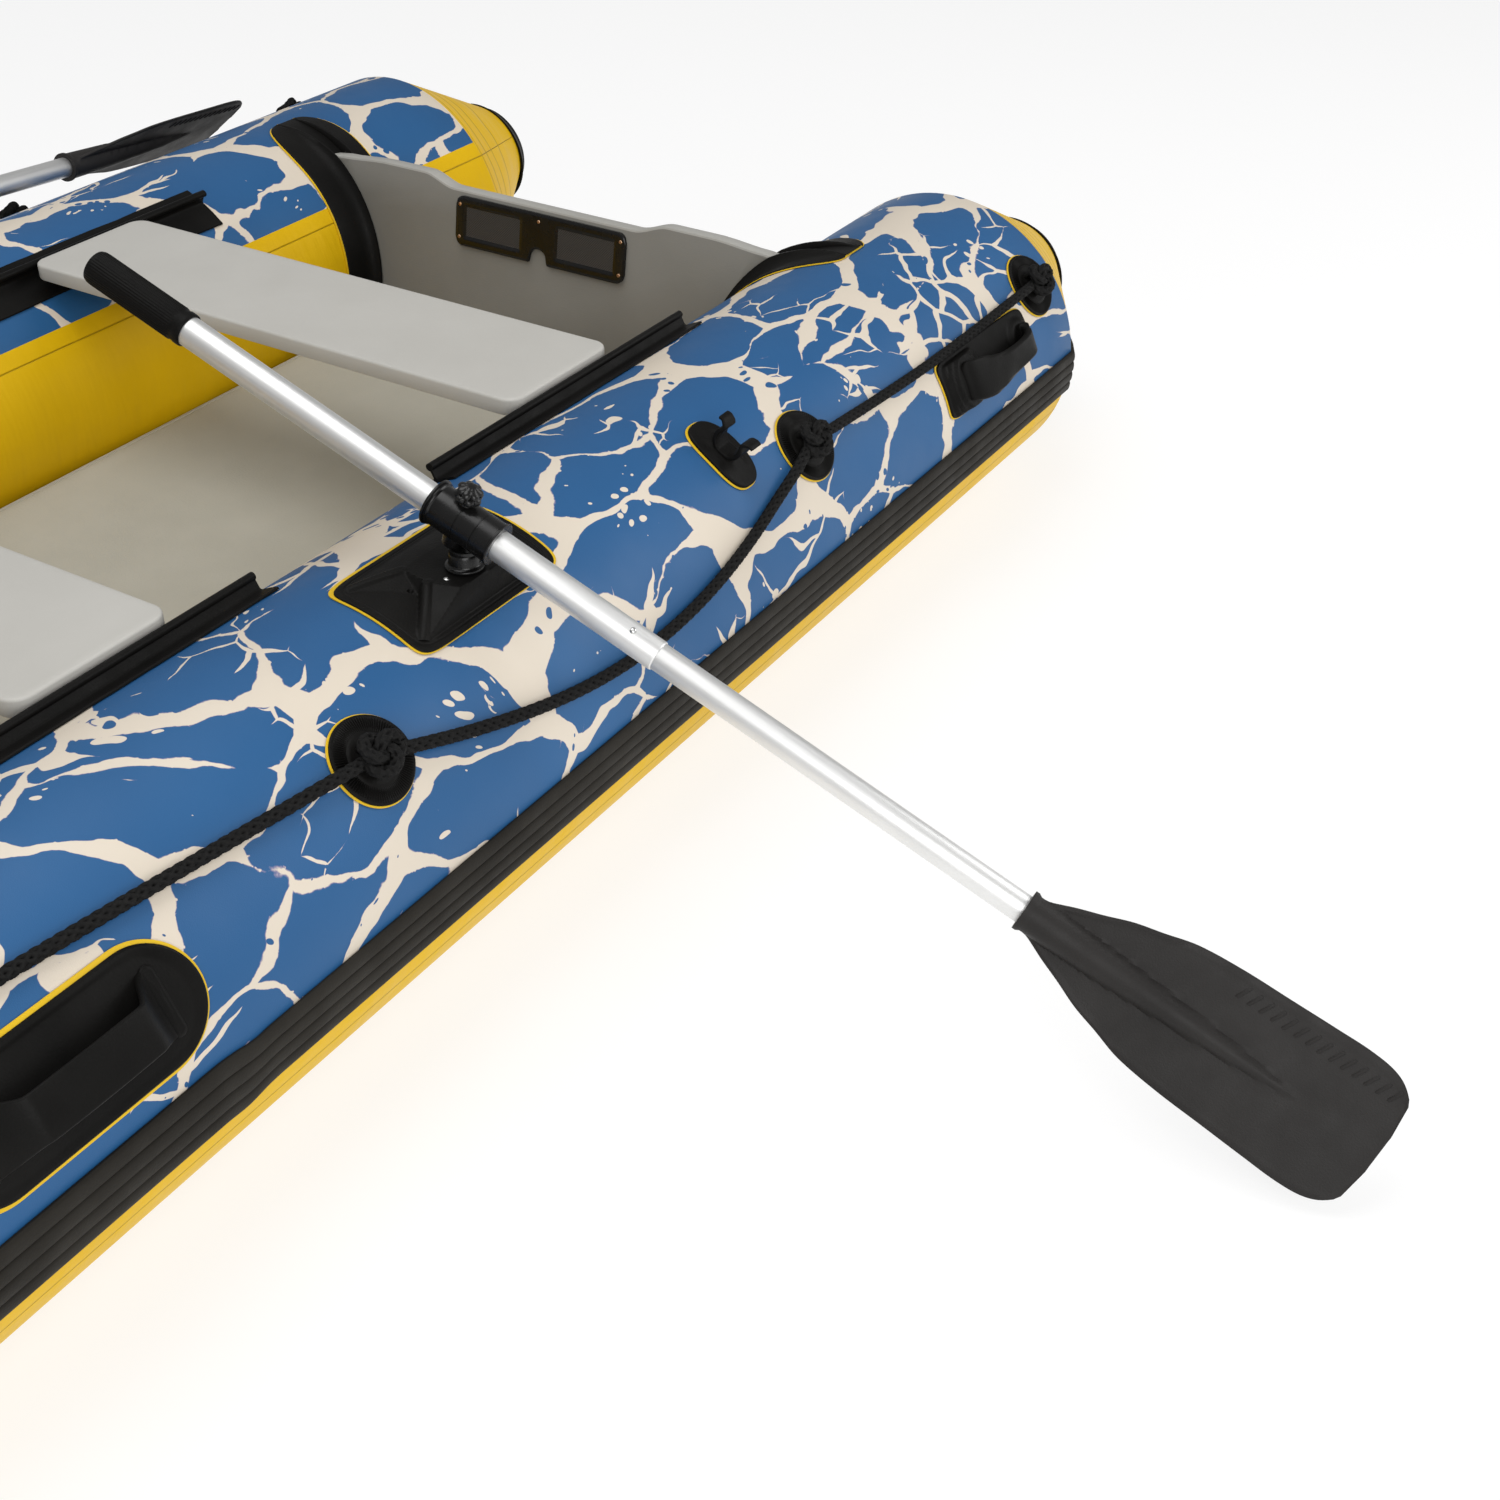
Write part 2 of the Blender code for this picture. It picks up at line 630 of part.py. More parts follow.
def set_on_tube(piece, side, distance, angle_degrees, lift):
    """Stand an object on a side tube, its Z axis pointing out."""
    angle = math.radians(angle_degrees)
    centre, forward, outboard, up = spine(side, distance)
    out = math.cos(angle) * outboard + math.sin(angle) * up
    aft = -forward
    round_up = out.cross(aft)
    frame = Matrix((aft, round_up, out)).transposed().to_4x4()
    frame.translation = centre + (TUBE_RADIUS + lift) * out
    piece.matrix_world = frame


def side_tube(name, side):
    """A straight side chamber with its tapered stern, open at both ends."""
    x = side * HALF_SPACING
    points = [
        (x, CHAMBER_JOINT_Y + GAP, TUBE_RADIUS),
        (x, CONE_START_Y, TUBE_RADIUS),
        (x, CONE_END_Y, TUBE_RADIUS + CONE_RISE),
    ]
    shares = [1.0, 1.0, CONE_END_RADIUS / TUBE_RADIUS]
    mesh = bevelled_curve(points, TUBE_RADIUS, TUBE_SIDES // 2 - 2, shares, caps=False)
    return finish_tube(name, mesh)


def finish_tube(name, mesh):
    """Give a tube its skin thickness."""
    tube = link_object(name, mesh, PRINT_BLUE)
    skin = tube.modifiers.new("skin", "SOLIDIFY")
    skin.thickness = SKIN
    skin.offset = -1.0
    return tube


def bow_tube():
    """The bow chamber: both shoulders and the nose, closed by a bulging wall at each end."""
    run = at_y(CHAMBER_JOINT_Y - GAP)
    half = [run]
    half += [NOSE * step / BOW_STEPS for step in range(BOW_STEPS)]
    places = [(1, distance) for distance in half]
    places += [(1, NOSE)]
    places += [(-1, distance) for distance in reversed(half)]
    points = [spine(side, distance)[0] for side, distance in places]
    mesh = bevelled_curve(points, TUBE_RADIUS, TUBE_SIDES // 2 - 2)
    bm = bmesh.new()
    bm.from_mesh(mesh)
    ends = [face for face in bm.faces if len(face.verts) > 4]
    for end in ends:
        middle = end.calc_center_median()
        poked = bmesh.ops.inset_individual(bm, faces=[end], thickness=TUBE_RADIUS / 2)
        inner = [vert for vert in end.verts]
        for vert in inner:
            vert.co.y = middle.y - BAFFLE_DEPTH * 0.7
        centre = bmesh.ops.poke(bm, faces=[end])["verts"][0]
        centre.co.y = middle.y - BAFFLE_DEPTH
        del poked
    bm.to_mesh(mesh)
    bm.free()
    return finish_tube("bow_tube", mesh)


def valves(tubes):
    """Each chamber's valve in its hole, with its cap."""
    for name, (side, y, angle) in VALVE_PLACES.items():
        place = (side, at_y(y), angle)
        hole = link_cutter(name + "_hole", cylinder_mesh(VALVE_BODY_RADIUS + VALVE_CLEAR, 4 * OVERRUN))
        set_on_tube(hole, *place, 0.0)
        add_boolean(tubes[name], hole, "DIFFERENCE")
        flange = VALVE_FLANGE
        deep = -VALVE_BODY_LENGTH
        bore = VALVE_BODY_RADIUS - VALVE_WALL
        profile = (
            (0.0, flange * 0.6), (bore, flange * 0.6), (bore, flange), (VALVE_FLANGE_RADIUS * 0.93, flange),
            (VALVE_FLANGE_RADIUS, flange / 2), (VALVE_FLANGE_RADIUS, 0.0), (VALVE_BODY_RADIUS, 0.0),
            (VALVE_BODY_RADIUS, deep), (0.0, deep),
        )
        body = link_object(name, turned(profile, TURN_STEPS), BLACK_PLASTIC)
        set_on_tube(body, *place, PATCH_GAP)
        top = CAP_HEIGHT
        profile = (
            (0.0, top), (CAP_RADIUS * CAP_CORNER_SHARE, top), (CAP_RADIUS, top * CAP_CORNER_SHARE),
            (CAP_RADIUS, 0.0), (0.0, 0.0),
        )
        cap = link_object(name + "_cap", turned(profile, TURN_STEPS), BLACK_PLASTIC)
        set_on_tube(cap, *place, PATCH_GAP + flange + GAP)
        grip = link_cutter(
            name + "_cap_grip",
            box_mesh(2 * CAP_RADIUS * CAP_CORNER_SHARE ** 2, CAP_GRIP_WIDTH, 2 * CAP_GRIP_HEIGHT),
        )
        set_on_tube(grip, *place, PATCH_GAP + flange + GAP + top)
        add_boolean(cap, grip, "UNION")


def stern_cap(name, side):
    """The moulded cap over the end of a stern cone."""
    start = CONE_END_Y + GAP
    outer = STERN_CAP_RADIUS
    end = STERN_CAP_END_RADIUS
    length = CONE_END_Y - CONE_START_Y
    slope = (TUBE_RADIUS - CONE_END_RADIUS) / length
    lap = STERN_CAP_LENGTH / 2
    wall = STERN_CAP_WALL
    inside = CONE_END_RADIUS + 2 * PATCH_GAP
    profile = (
        (0.0, lap), (end * 0.7, lap), (end, lap * 0.75), (outer, 0.0),
        (inside + slope * lap + wall, -lap), (inside + slope * lap, -lap), (inside, GAP), (0.0, GAP),
    )
    cap = link_object(name, turned(profile, TUBE_SIDES), BLACK_RUBBER)
    lean = math.atan2(CONE_RISE, length)
    cap.matrix_world = (
        Matrix.Translation((side * HALF_SPACING, start, TUBE_RADIUS + CONE_RISE))
        @ Matrix.Rotation(lean, 4, "X")
        @ Matrix.Rotation(-math.pi / 2, 4, "X")
    )


def strake_profile(width):
    """Round and out coordinates of the ribbed band, foot first."""
    half = width / 2
    points = [(width * step / STRAKE_RIBS - half, 0.0) for step in range(STRAKE_RIBS + 1)]
    points.append((half, STRAKE_THICKNESS / 2))
    for rib in range(STRAKE_RIBS):
        middle = half - width * (rib + 0.5) / STRAKE_RIBS
        crest = width / STRAKE_RIBS * 0.28
        valley = width / STRAKE_RIBS * 0.46
        points.append((middle + valley, STRAKE_THICKNESS - STRAKE_RIB))
        points.append((middle + crest, STRAKE_THICKNESS))
        points.append((middle - crest, STRAKE_THICKNESS))
        points.append((middle - valley, STRAKE_THICKNESS - STRAKE_RIB))
    points.append((-half, STRAKE_THICKNESS / 2))
    return points


def rub_strake():
    """The ribbed band round the outside of the hull, built on one side and mirrored."""
    middle = math.radians(STRAKE_ANGLE)
    stations = [at_y(CONE_START_Y), at_y(CHAMBER_JOINT_Y) - 0.10 * TUBE_RADIUS, at_y(CHAMBER_JOINT_Y)]
    stations += [NOSE * step / BOW_STEPS for step in range(BOW_STEPS + 1)]
    bm = bmesh.new()
    rows = []
    for distance in stations:
        width = STRAKE_WIDTH if distance < stations[2] else STRAKE_BOW_WIDTH
        row = []
        for v, h in strake_profile(width):
            radius = TUBE_RADIUS + PATCH_GAP + h
            point = tube_point(1, distance, middle + v / TUBE_RADIUS, radius)
            if distance == stations[-1]:
                point.x = 0.0
            row.append(bm.verts.new(point))
        rows.append(row)
    count = len(rows[0])
    for first, second in zip(rows[:-1], rows[1:]):
        for i in range(count):
            j = (i + 1) % count
            bm.faces.new((first[i], first[j], second[j], second[i]))
    bm.faces.new(rows[0])
    bmesh.ops.recalc_face_normals(bm, faces=bm.faces)
    mesh = bpy.data.meshes.new("strake")
    bm.to_mesh(mesh)
    bm.free()
    strake = link_object("rub_strake", mesh, BLACK_RUBBER)
    mirror = strake.modifiers.new("mirror", "MIRROR")
    mirror.use_axis = (True, False, False)
    mirror.use_clip = True
    mirror.merge_threshold = MERGE


def keel_line(y, nose_y, nose_z):
    """Height of the bottom along its middle."""
    if y >= KEEL_RISE_Y:
        return KEEL_HEIGHT
    part = (KEEL_RISE_Y - y) / (KEEL_RISE_Y - nose_y)
    return KEEL_HEIGHT + (nose_z - KEEL_HEIGHT) * part * part


def bottom_section():
    """Where the bottom leaves a straight tube, its crease half way in and its keel."""
    angle = 1.5 * math.pi - BOTTOM_INNER_FACETS * 2 * math.pi / TUBE_SIDES
    edge = tube_point(1, 0.0, angle, TUBE_RADIUS + PATCH_GAP + SKIN / 2)
    keel = Vector((0.0, edge.y, KEEL_HEIGHT))
    return edge, edge.lerp(keel, 0.5) - UP * KEEL_HEIGHT, keel


def hull_bottom():
    """The bottom skin, glued under both tubes and drawn up to the nose."""
    facet = 2 * math.pi / TUBE_SIDES
    inner = 1.5 * math.pi - BOTTOM_INNER_FACETS * facet
    outer = 1.5 * math.pi - BOTTOM_OUTER_FACETS * facet
    middle = (inner + outer) / 2
    radius = TUBE_RADIUS + PATCH_GAP + SKIN / 2
    nose = tube_point(1, NOSE, inner, radius)
    stations = [at_y(BOTTOM_END_Y), at_y(0.5 * BOTTOM_END_Y), at_y(0.0)]
    stations += [NOSE * step / BOW_STEPS for step in range(BOTTOM_BOW_STEPS + 1)]
    bm = bmesh.new()
    rows = []
    for distance in stations:
        edge = tube_point(1, distance, inner, radius)
        keel = Vector((0.0, edge.y, keel_line(edge.y, nose.y, nose.z)))
        half = [tube_point(1, distance, outer, radius), tube_point(1, distance, middle, radius), edge]
        if distance == stations[-1]:
            half += [edge.lerp(nose, 0.5), nose]
        else:
            half += [edge.lerp(keel, 0.5) - UP * KEEL_HEIGHT, keel]
        row = [bm.verts.new(point) for point in half]
        row += [bm.verts.new((-point.x, point.y, point.z)) for point in reversed(half[:-1])]
        rows.append(row)
    for first, second in zip(rows[:-1], rows[1:]):
        for i in range(len(first) - 1):
            bm.faces.new((first[i], first[i + 1], second[i + 1], second[i]))
    bmesh.ops.recalc_face_normals(bm, faces=bm.faces)
    mesh = bpy.data.meshes.new("bottom")
    bm.to_mesh(mesh)
    bm.free()
    bottom = link_object("hull_bottom", mesh, BOTTOM_YELLOW)
    skin = bottom.modifiers.new("skin", "SOLIDIFY")
    skin.thickness = SKIN
    skin.offset = 0.0


def keel_guard():
    """The wearing strip under the keel, which the boat also rests on."""
    length = BOTTOM_END_Y - KEEL_GUARD_FORE_Y
    thickness = KEEL_HEIGHT - SKIN / 2 - GAP
    mesh = box_mesh(KEEL_GUARD_WIDTH, length, thickness)
    guard = link_object("keel_guard", mesh, BLACK_RUBBER)
    guard.location = (0.0, (BOTTOM_END_Y + KEEL_GUARD_FORE_Y) / 2, thickness / 2)


def deck_outline(inset):
    """Half of the deck's outline and its mirror, seen from above."""
    side = [(DECK_HALF_WIDTH - inset, DECK_AFT_Y - inset), (DECK_HALF_WIDTH - inset, DECK_SHOULDER_Y)]
    for step in range(1, DECK_CORNER_STEPS + 1):
        angle = math.pi / 2 * step / DECK_CORNER_STEPS
        reach = DECK_HALF_WIDTH - DECK_NOSE_HALF_WIDTH
        side.append((
            DECK_NOSE_HALF_WIDTH + reach * math.cos(angle) - inset,
            DECK_SHOULDER_Y + (DECK_FORE_Y - DECK_SHOULDER_Y) * math.sin(angle) + inset * math.sin(angle),
        ))
    return side + [(-x, y) for x, y in reversed(side)]


def air_deck():
    """The inflated floor: a skin with a valve hole in its top."""
    deck = link_object("air_deck", flat_outline(deck_outline(0.0), DECK_THICKNESS), DECK_GREY)
    deck.location.z = DECK_TOP - DECK_THICKNESS / 2
    inside = link_cutter(
        "air_deck_inside", flat_outline(deck_outline(DECK_SKIN), DECK_THICKNESS - 2 * DECK_SKIN)
    )
    inside.location = deck.location
    hole = link_cutter("air_deck_valve_hole", cylinder_mesh(DECK_VALVE_RADIUS, 4 * OVERRUN))
    hole.location = (0.0, DECK_VALVE_Y, DECK_TOP)
    add_boolean(deck, inside, "DIFFERENCE")
    add_boolean(deck, hole, "DIFFERENCE")


def board_frame(depth):
    """The transom board's plane: X across, Y up the board and Z forward, at a depth aft."""
    tilt = math.radians(BOARD_TILT)
    across = Vector((1.0, 0.0, 0.0))
    rise = Vector((0.0, math.sin(tilt), math.cos(tilt)))
    forward = across.cross(rise)
    frame = Matrix((across, rise, forward)).transposed().to_4x4()
    frame.translation = Vector((0.0, BOARD_Y, TUBE_RADIUS)) - depth * forward
    return frame


def board_outline():
    """The board's outline: a lowered middle, two shoulders and edges that follow the tubes."""
    half = [
        (BOARD_NOTCH_HALF_WIDTH, BOARD_NOTCH),
        ((BOARD_NOTCH_HALF_WIDTH + BOARD_SHOULDER_HALF_WIDTH) / 2, (BOARD_NOTCH + BOARD_SHOULDER) / 2),
        (BOARD_SHOULDER_HALF_WIDTH, BOARD_SHOULDER),
        (0.85 * BOARD_TOP_HALF_WIDTH, BOARD_SHOULDER),
        (BOARD_TOP_HALF_WIDTH, BOARD_SHOULDER - BOARD_CORNER_DROP),
    ]
    radius = TUBE_RADIUS + BOARD_CLEAR
    for step in range(BOARD_SIDE_STEPS + 1):
        share = step / BOARD_SIDE_STEPS
        angle = math.radians(BOARD_SIDE_TOP_ANGLE + share * (BOARD_BOTTOM_ANGLE - BOARD_SIDE_TOP_ANGLE))
        half.append((HALF_SPACING + radius * math.cos(angle), radius * math.sin(angle)))
    lean = math.cos(math.radians(BOARD_TILT))
    edge, crease, keel = bottom_section()
    half.append((crease.x, (crease.z + BOARD_BOTTOM_CLEAR - TUBE_RADIUS) / lean))
    half.append((keel.x, (keel.z + BOARD_BOTTOM_CLEAR - TUBE_RADIUS) / lean))
    return half + [(-x, y) for x, y in reversed(half[:-1])]


def transom_board():
    """The board, leaning aft between the tubes."""
    board = link_object("transom_board", flat_outline(board_outline(), BOARD_THICKNESS), BOARD_GREY)
    board.matrix_world = board_frame(BOARD_THICKNESS / 2)


def motor_pads():
    """The clamp pads on the board's two faces."""
    inner = rounded_rectangle(
        INNER_PAD_HALF_WIDTH, (INNER_PAD_TOP - INNER_PAD_BOTTOM) / 2, PAD_CORNER, PAD_CORNER_STEPS
    )
    pad = link_object("inner_motor_pad", flat_outline(inner, INNER_PAD_THICKNESS), BLACK_PLASTIC)
    middle = (INNER_PAD_TOP + INNER_PAD_BOTTOM) / 2
    pad.matrix_world = board_frame(-INNER_PAD_THICKNESS / 2 - GAP) @ Matrix.Translation((0.0, middle, 0.0))
    notch = link_cutter(
        "inner_motor_pad_notch", box_mesh(2 * PAD_NOTCH_HALF_WIDTH, 2 * PAD_NOTCH_DEPTH, 4 * OVERRUN)
    )
    notch.matrix_world = board_frame(0.0) @ Matrix.Translation((0.0, INNER_PAD_BOTTOM, 0.0))
    add_boolean(pad, notch, "DIFFERENCE")
    reach = INNER_PAD_HALF_WIDTH - PAD_NOTCH_HALF_WIDTH
    for side in (1, -1):
        recess = link_cutter(
            "inner_motor_pad_recess",
            box_mesh(
                reach - 3 * PAD_RECESS_MARGIN,
                INNER_PAD_TOP - INNER_PAD_BOTTOM - 2 * PAD_RECESS_MARGIN,
                2 * PAD_RECESS_DEPTH,
            ),
        )
        place = Matrix.Translation((side * (PAD_NOTCH_HALF_WIDTH + reach / 2), middle, 0.0))
        recess.matrix_world = board_frame(-INNER_PAD_THICKNESS - GAP) @ place
        add_boolean(pad, recess, "DIFFERENCE")
    outer = rounded_rectangle(
        OUTER_PAD_HALF_WIDTH, (OUTER_PAD_TOP - OUTER_PAD_BOTTOM) / 2, PAD_CORNER, PAD_CORNER_STEPS
    )
    pad = link_object("outer_motor_pad", flat_outline(outer, OUTER_PAD_THICKNESS), BLACK_PLASTIC)
    middle = (OUTER_PAD_TOP + OUTER_PAD_BOTTOM) / 2
    depth = BOARD_THICKNESS + OUTER_PAD_THICKNESS / 2 + GAP
    pad.matrix_world = board_frame(depth) @ Matrix.Translation((0.0, middle, 0.0))


def transom_flange(name, side):
    """A rubber crescent glued to the tube, with two lips that hold the board's edge."""
    lean = math.tan(math.radians(BOARD_TILT))
    ends = [e for f in FLANGE_ROUNDING for e in (f, 1.0 - f)]
    parts = sorted([step / FLANGE_STEPS for step in range(FLANGE_STEPS + 1)] + ends)
    rings = []
    for part in parts:
        angle = math.radians(FLANGE_TOP_ANGLE + part * (FLANGE_BOTTOM_ANGLE - FLANGE_TOP_ANGLE))
        lobe = min(1.0, min(part, 1.0 - part) / FLANGE_LOBE)
        bulge = math.sqrt(1.0 - (1.0 - lobe) ** 2)
        fore = FLANGE_END_FORE + (FLANGE_FORE - FLANGE_END_FORE) * bulge
        aft = FLANGE_END_AFT + (FLANGE_AFT - FLANGE_END_AFT) * bulge
        board_aft = BOARD_THICKNESS / math.cos(math.radians(BOARD_TILT))
        lip = min(1.0, 4.0 * part, 4.0 * (1.0 - part)) * (FLANGE_LIP - FLANGE_BASE) + FLANGE_BASE
        wall = FLANGE_LIP_WALL
        slot = 3 * GAP
        section = (
            (-fore, 0.0), (board_aft + aft, 0.0),
            (board_aft + aft, FLANGE_BASE / 2),
            (board_aft + slot + wall + lip, FLANGE_BASE), (board_aft + slot + wall, lip + GAP),
            (board_aft + slot, lip + GAP), (board_aft + slot, FLANGE_BASE),
            (-slot, FLANGE_BASE), (-slot, lip + GAP),
            (-slot - wall, lip + GAP), (-slot - wall - lip, FLANGE_BASE),
            (-fore, FLANGE_BASE / 2),
        )
        ring = []
        for run, h in section:
            radius = TUBE_RADIUS + PATCH_GAP + h
            face_y = BOARD_Y + lean * radius * math.sin(angle)
            ring.append(tube_point(side, at_y(face_y + run), angle, radius))
        rings.append(ring)
    link_object(name, loft(rings), BLACK_RUBBER)


def seat(name, fore_y):
    """A bench board with a foot under each end."""
    outline = rounded_rectangle(SEAT_LENGTH / 2, SEAT_WIDTH / 2, SEAT_CORNER, SEAT_CORNER_STEPS)
    board = link_object(name, flat_outline(outline, SEAT_THICKNESS), SEAT_GREY)
    board.location = (0.0, fore_y + SEAT_WIDTH / 2, SEAT_TOP - SEAT_THICKNESS / 2)
    bevel = board.modifiers.new("edge", "BEVEL")
    bevel.width = SEAT_EDGE
    bevel.segments = 1
    bevel.limit_method = "ANGLE"
    bevel.angle_limit = math.radians(60.0)
    for side in (1, -1):
        foot = link_cutter(
            name + "_foot", box_mesh(SEAT_FOOT_LENGTH, SEAT_FOOT_WIDTH, 2 * SEAT_FOOT_HEIGHT)
        )
        foot.location = (
            side * (SEAT_LENGTH / 2 - SEAT_FOOT_INSET - SEAT_FOOT_LENGTH / 2),
            board.location.y,
            SEAT_TOP - SEAT_THICKNESS,
        )
        add_boolean(board, foot, "UNION")


def seat_track(name, side, fore_y, length):
    """A glued band with an upright fin whose bead guides a seat's end, the same all along."""
    low = -TRACK_BAND_ABOVE
    high = TRACK_BAND_BELOW
    half = TRACK_FIN_WIDTH / 2
    bead = TRACK_BEAD_RADIUS
    top = TRACK_BAND + TRACK_FIN
    section = [(low + share * (high - low), 0.0) for share in TRACK_LAND_SHARES]
    section += [
        (high, TRACK_BAND / 2), (high * TRACK_EDGE_SHARE, TRACK_BAND), (high / 2, TRACK_BAND),
        (half, TRACK_BAND), (half, top - bead), (bead, top), (half, top + bead), (-half, top + bead),
        (-bead, top), (-half, top - bead), (-half, TRACK_BAND), (low / 2, TRACK_BAND),
        (low * TRACK_EDGE_SHARE, TRACK_BAND), (low, TRACK_BAND / 2),
    ]
    middle = math.radians(TRACK_ANGLE)
    outline = []
    for v, h in section:
        point = tube_point(side, 0.0, middle + v / TUBE_RADIUS, TUBE_RADIUS + PATCH_GAP + h)
        outline.append((point.x, point.z))
    track = link_object(name, flat_outline(outline, length), BLACK_RUBBER)
    track.location.y = fore_y + length / 2
    track.rotation_euler.x = math.pi / 2


def rowlock_base(name, side):
    """A square pad that rises like a low pyramid to a level seat for the swivel."""
    half_u = ROWLOCK_BASE_HALF_LENGTH
    half_v = ROWLOCK_BASE_HALF_WIDTH
    rim = ROWLOCK_BASE_RIM
    flat = ((0.5, 0.0, 0.0, 0.0), (1.0, 0.0, 0.0, 0.0), (1.0, rim / 2, 0.0, 0.0))
    seat_angle = math.degrees(math.atan2(SWIVEL_FOOT_Z - TUBE_RADIUS, PIVOT_X - HALF_SPACING))
    shift_v = math.radians(seat_angle - ROWLOCK_BASE_ANGLE) * TUBE_RADIUS
    shift_u = PIVOT_Y - ROWLOCK_BASE_Y
    share = ROWLOCK_SEAT_HALF / half_v
    rise = ROWLOCK_SEAT_HEIGHT
    top = (
        (0.96, rim, 0.0, 0.0), (0.86, rim, 0.0, 0.0),
        ((share + 0.9) / 2, rim + rise * 0.35, shift_u / 2, shift_v / 2),
        (share, rise * 0.90, shift_u, shift_v),
    )
    mesh = wrap(patch(half_u, half_v, 5.0, flat + top), side, at_y(ROWLOCK_BASE_Y), ROWLOCK_BASE_ANGLE)
    base = link_object(name, mesh, BLACK_RUBBER)
    pivot = Vector((side * PIVOT_X, PIVOT_Y, SWIVEL_FOOT_Z - GAP))
    level = link_cutter(name + "_level", cylinder_mesh(ROWLOCK_SEAT_HALF, ROWLOCK_SEAT_HALF, 24))
    level.location = pivot + UP * (ROWLOCK_SEAT_HALF / 2)
    add_boolean(base, level, "DIFFERENCE")
    socket = link_cutter(
        name + "_socket",
        cylinder_mesh(SWIVEL_STEM_RADIUS + SWIVEL_STEM_CLEAR, 2 * (SWIVEL_STEM_LENGTH + SWIVEL_STEM_CLEAR)),
    )
    socket.location = pivot
    add_boolean(base, socket, "DIFFERENCE")


def ball_profile(radius, reach, steps):
    """Points on the underside of a ball about the origin, from a reach inwards to its axis."""
    widest = math.asin(reach / radius)
    angles = [widest * (steps - step) / steps for step in range(steps + 1)]
    return [(radius * math.sin(angle), -radius * math.cos(angle)) for angle in angles]


def rowlock_swivel(name, side):
    """The turning post: a flange, a neck with a hollow top and a stem that sits in the base."""
    height = PIVOT_Z - SWIVEL_FOOT_Z
    cup = ball_profile(SWIVEL_CUP_RADIUS, SWIVEL_NECK_RADIUS, SWIVEL_CUP_STEPS)
    profile = [(radius, height + z) for radius, z in reversed(cup)]
    profile += [
        (SWIVEL_NECK_RADIUS, SWIVEL_FLANGE), (SWIVEL_FLANGE_RADIUS, SWIVEL_FLANGE),
        (SWIVEL_FLANGE_RADIUS, 0.0), (SWIVEL_STEM_RADIUS, 0.0),
        (SWIVEL_STEM_RADIUS, -SWIVEL_STEM_LENGTH), (0.0, -SWIVEL_STEM_LENGTH),
    ]
    post = link_object(name, turned(profile), BLACK_PLASTIC)
    post.location = (side * PIVOT_X, PIVOT_Y, SWIVEL_FOOT_Z)


def oar_frame(side):
    """An oar's axes at its pivot: X outboard along the shaft, Y across the blade, Z off its face."""
    dip = math.radians(OAR_DIP[side])
    yaw = math.radians(OAR_YAW[side])
    roll = math.radians(OAR_ROLL[side])
    along = Vector((side * math.cos(dip) * math.cos(yaw), math.cos(dip) * math.sin(yaw), -math.sin(dip)))
    level = Vector((-side * math.sin(yaw), math.cos(yaw), 0.0))
    above = side * along.cross(level)
    across = math.cos(roll) * level + math.sin(roll) * above
    face = along.cross(across)
    frame = Matrix((along, across, face)).transposed().to_4x4()
    frame.translation = Vector((side * PIVOT_X, PIVOT_Y, PIVOT_Z))
    upright = Matrix((along, above.cross(along), above)).transposed().to_4x4()
    upright.translation = frame.translation
    return frame, upright


ALONG_SHAFT = Matrix.Rotation(math.pi / 2, 4, "Y")


def shaft_tube(outer, start, end, steps=TURN_STEPS):
    """A thin tube along its own +Z, between two places on the shaft."""
    inner = outer - SHAFT_WALL
    return turned(((outer, end), (outer, start), (inner, start), (inner, end), (outer, end)), steps)


def oar_shafts(label, side, frame):
    """The two halves of the shaft, with the hole for the snap button."""
    turn = math.radians(90.0 * side + side * BUTTON_ANGLE)
    hole_frame = frame @ Matrix.Rotation(-turn + side * math.pi / 2, 4, "X")
    radius = BUTTON_RADIUS + BUTTON_CLEAR
    reach = UPPER_RADIUS + OVERRUN
    halves = (
        ("_oar_upper_shaft", UPPER_RADIUS, UPPER_START, UPPER_END),
        ("_oar_lower_shaft", LOWER_RADIUS, LOWER_START, LOWER_END),
    )
    for suffix, outer, start, end in halves:
        shaft = link_object(label + suffix, shaft_tube(outer, start, end), SATIN_ALUMINIUM)
        shaft.matrix_world = frame @ ALONG_SHAFT
        hole = link_cutter(label + suffix + "_hole", cylinder_mesh(radius, reach, 12))
        hole.matrix_world = hole_frame @ Matrix.Translation((BUTTON_AT, 0.0, side * reach / 2))
        add_boolean(shaft, hole, "DIFFERENCE")
    proud = UPPER_RADIUS + BUTTON_PROUD
    inside = LOWER_RADIUS - SHAFT_WALL - 2 * GAP - BUTTON_HEAD / 2
    profile = (
        (0.0, proud), (BUTTON_RADIUS * 0.6, proud), (BUTTON_RADIUS, proud - BUTTON_PROUD / 2),
        (BUTTON_RADIUS, inside), (BUTTON_HEAD_RADIUS, inside), (BUTTON_HEAD_RADIUS, inside - BUTTON_HEAD),
        (0.0, inside - BUTTON_HEAD),
    )
    button = link_object(label + "_oar_snap_button", turned(profile, 12), STEEL)
    flip = Matrix.Identity(4) if side > 0 else Matrix.Rotation(math.pi, 4, "X")
    button.matrix_world = hole_frame @ Matrix.Translation((BUTTON_AT, 0.0, 0.0)) @ flip


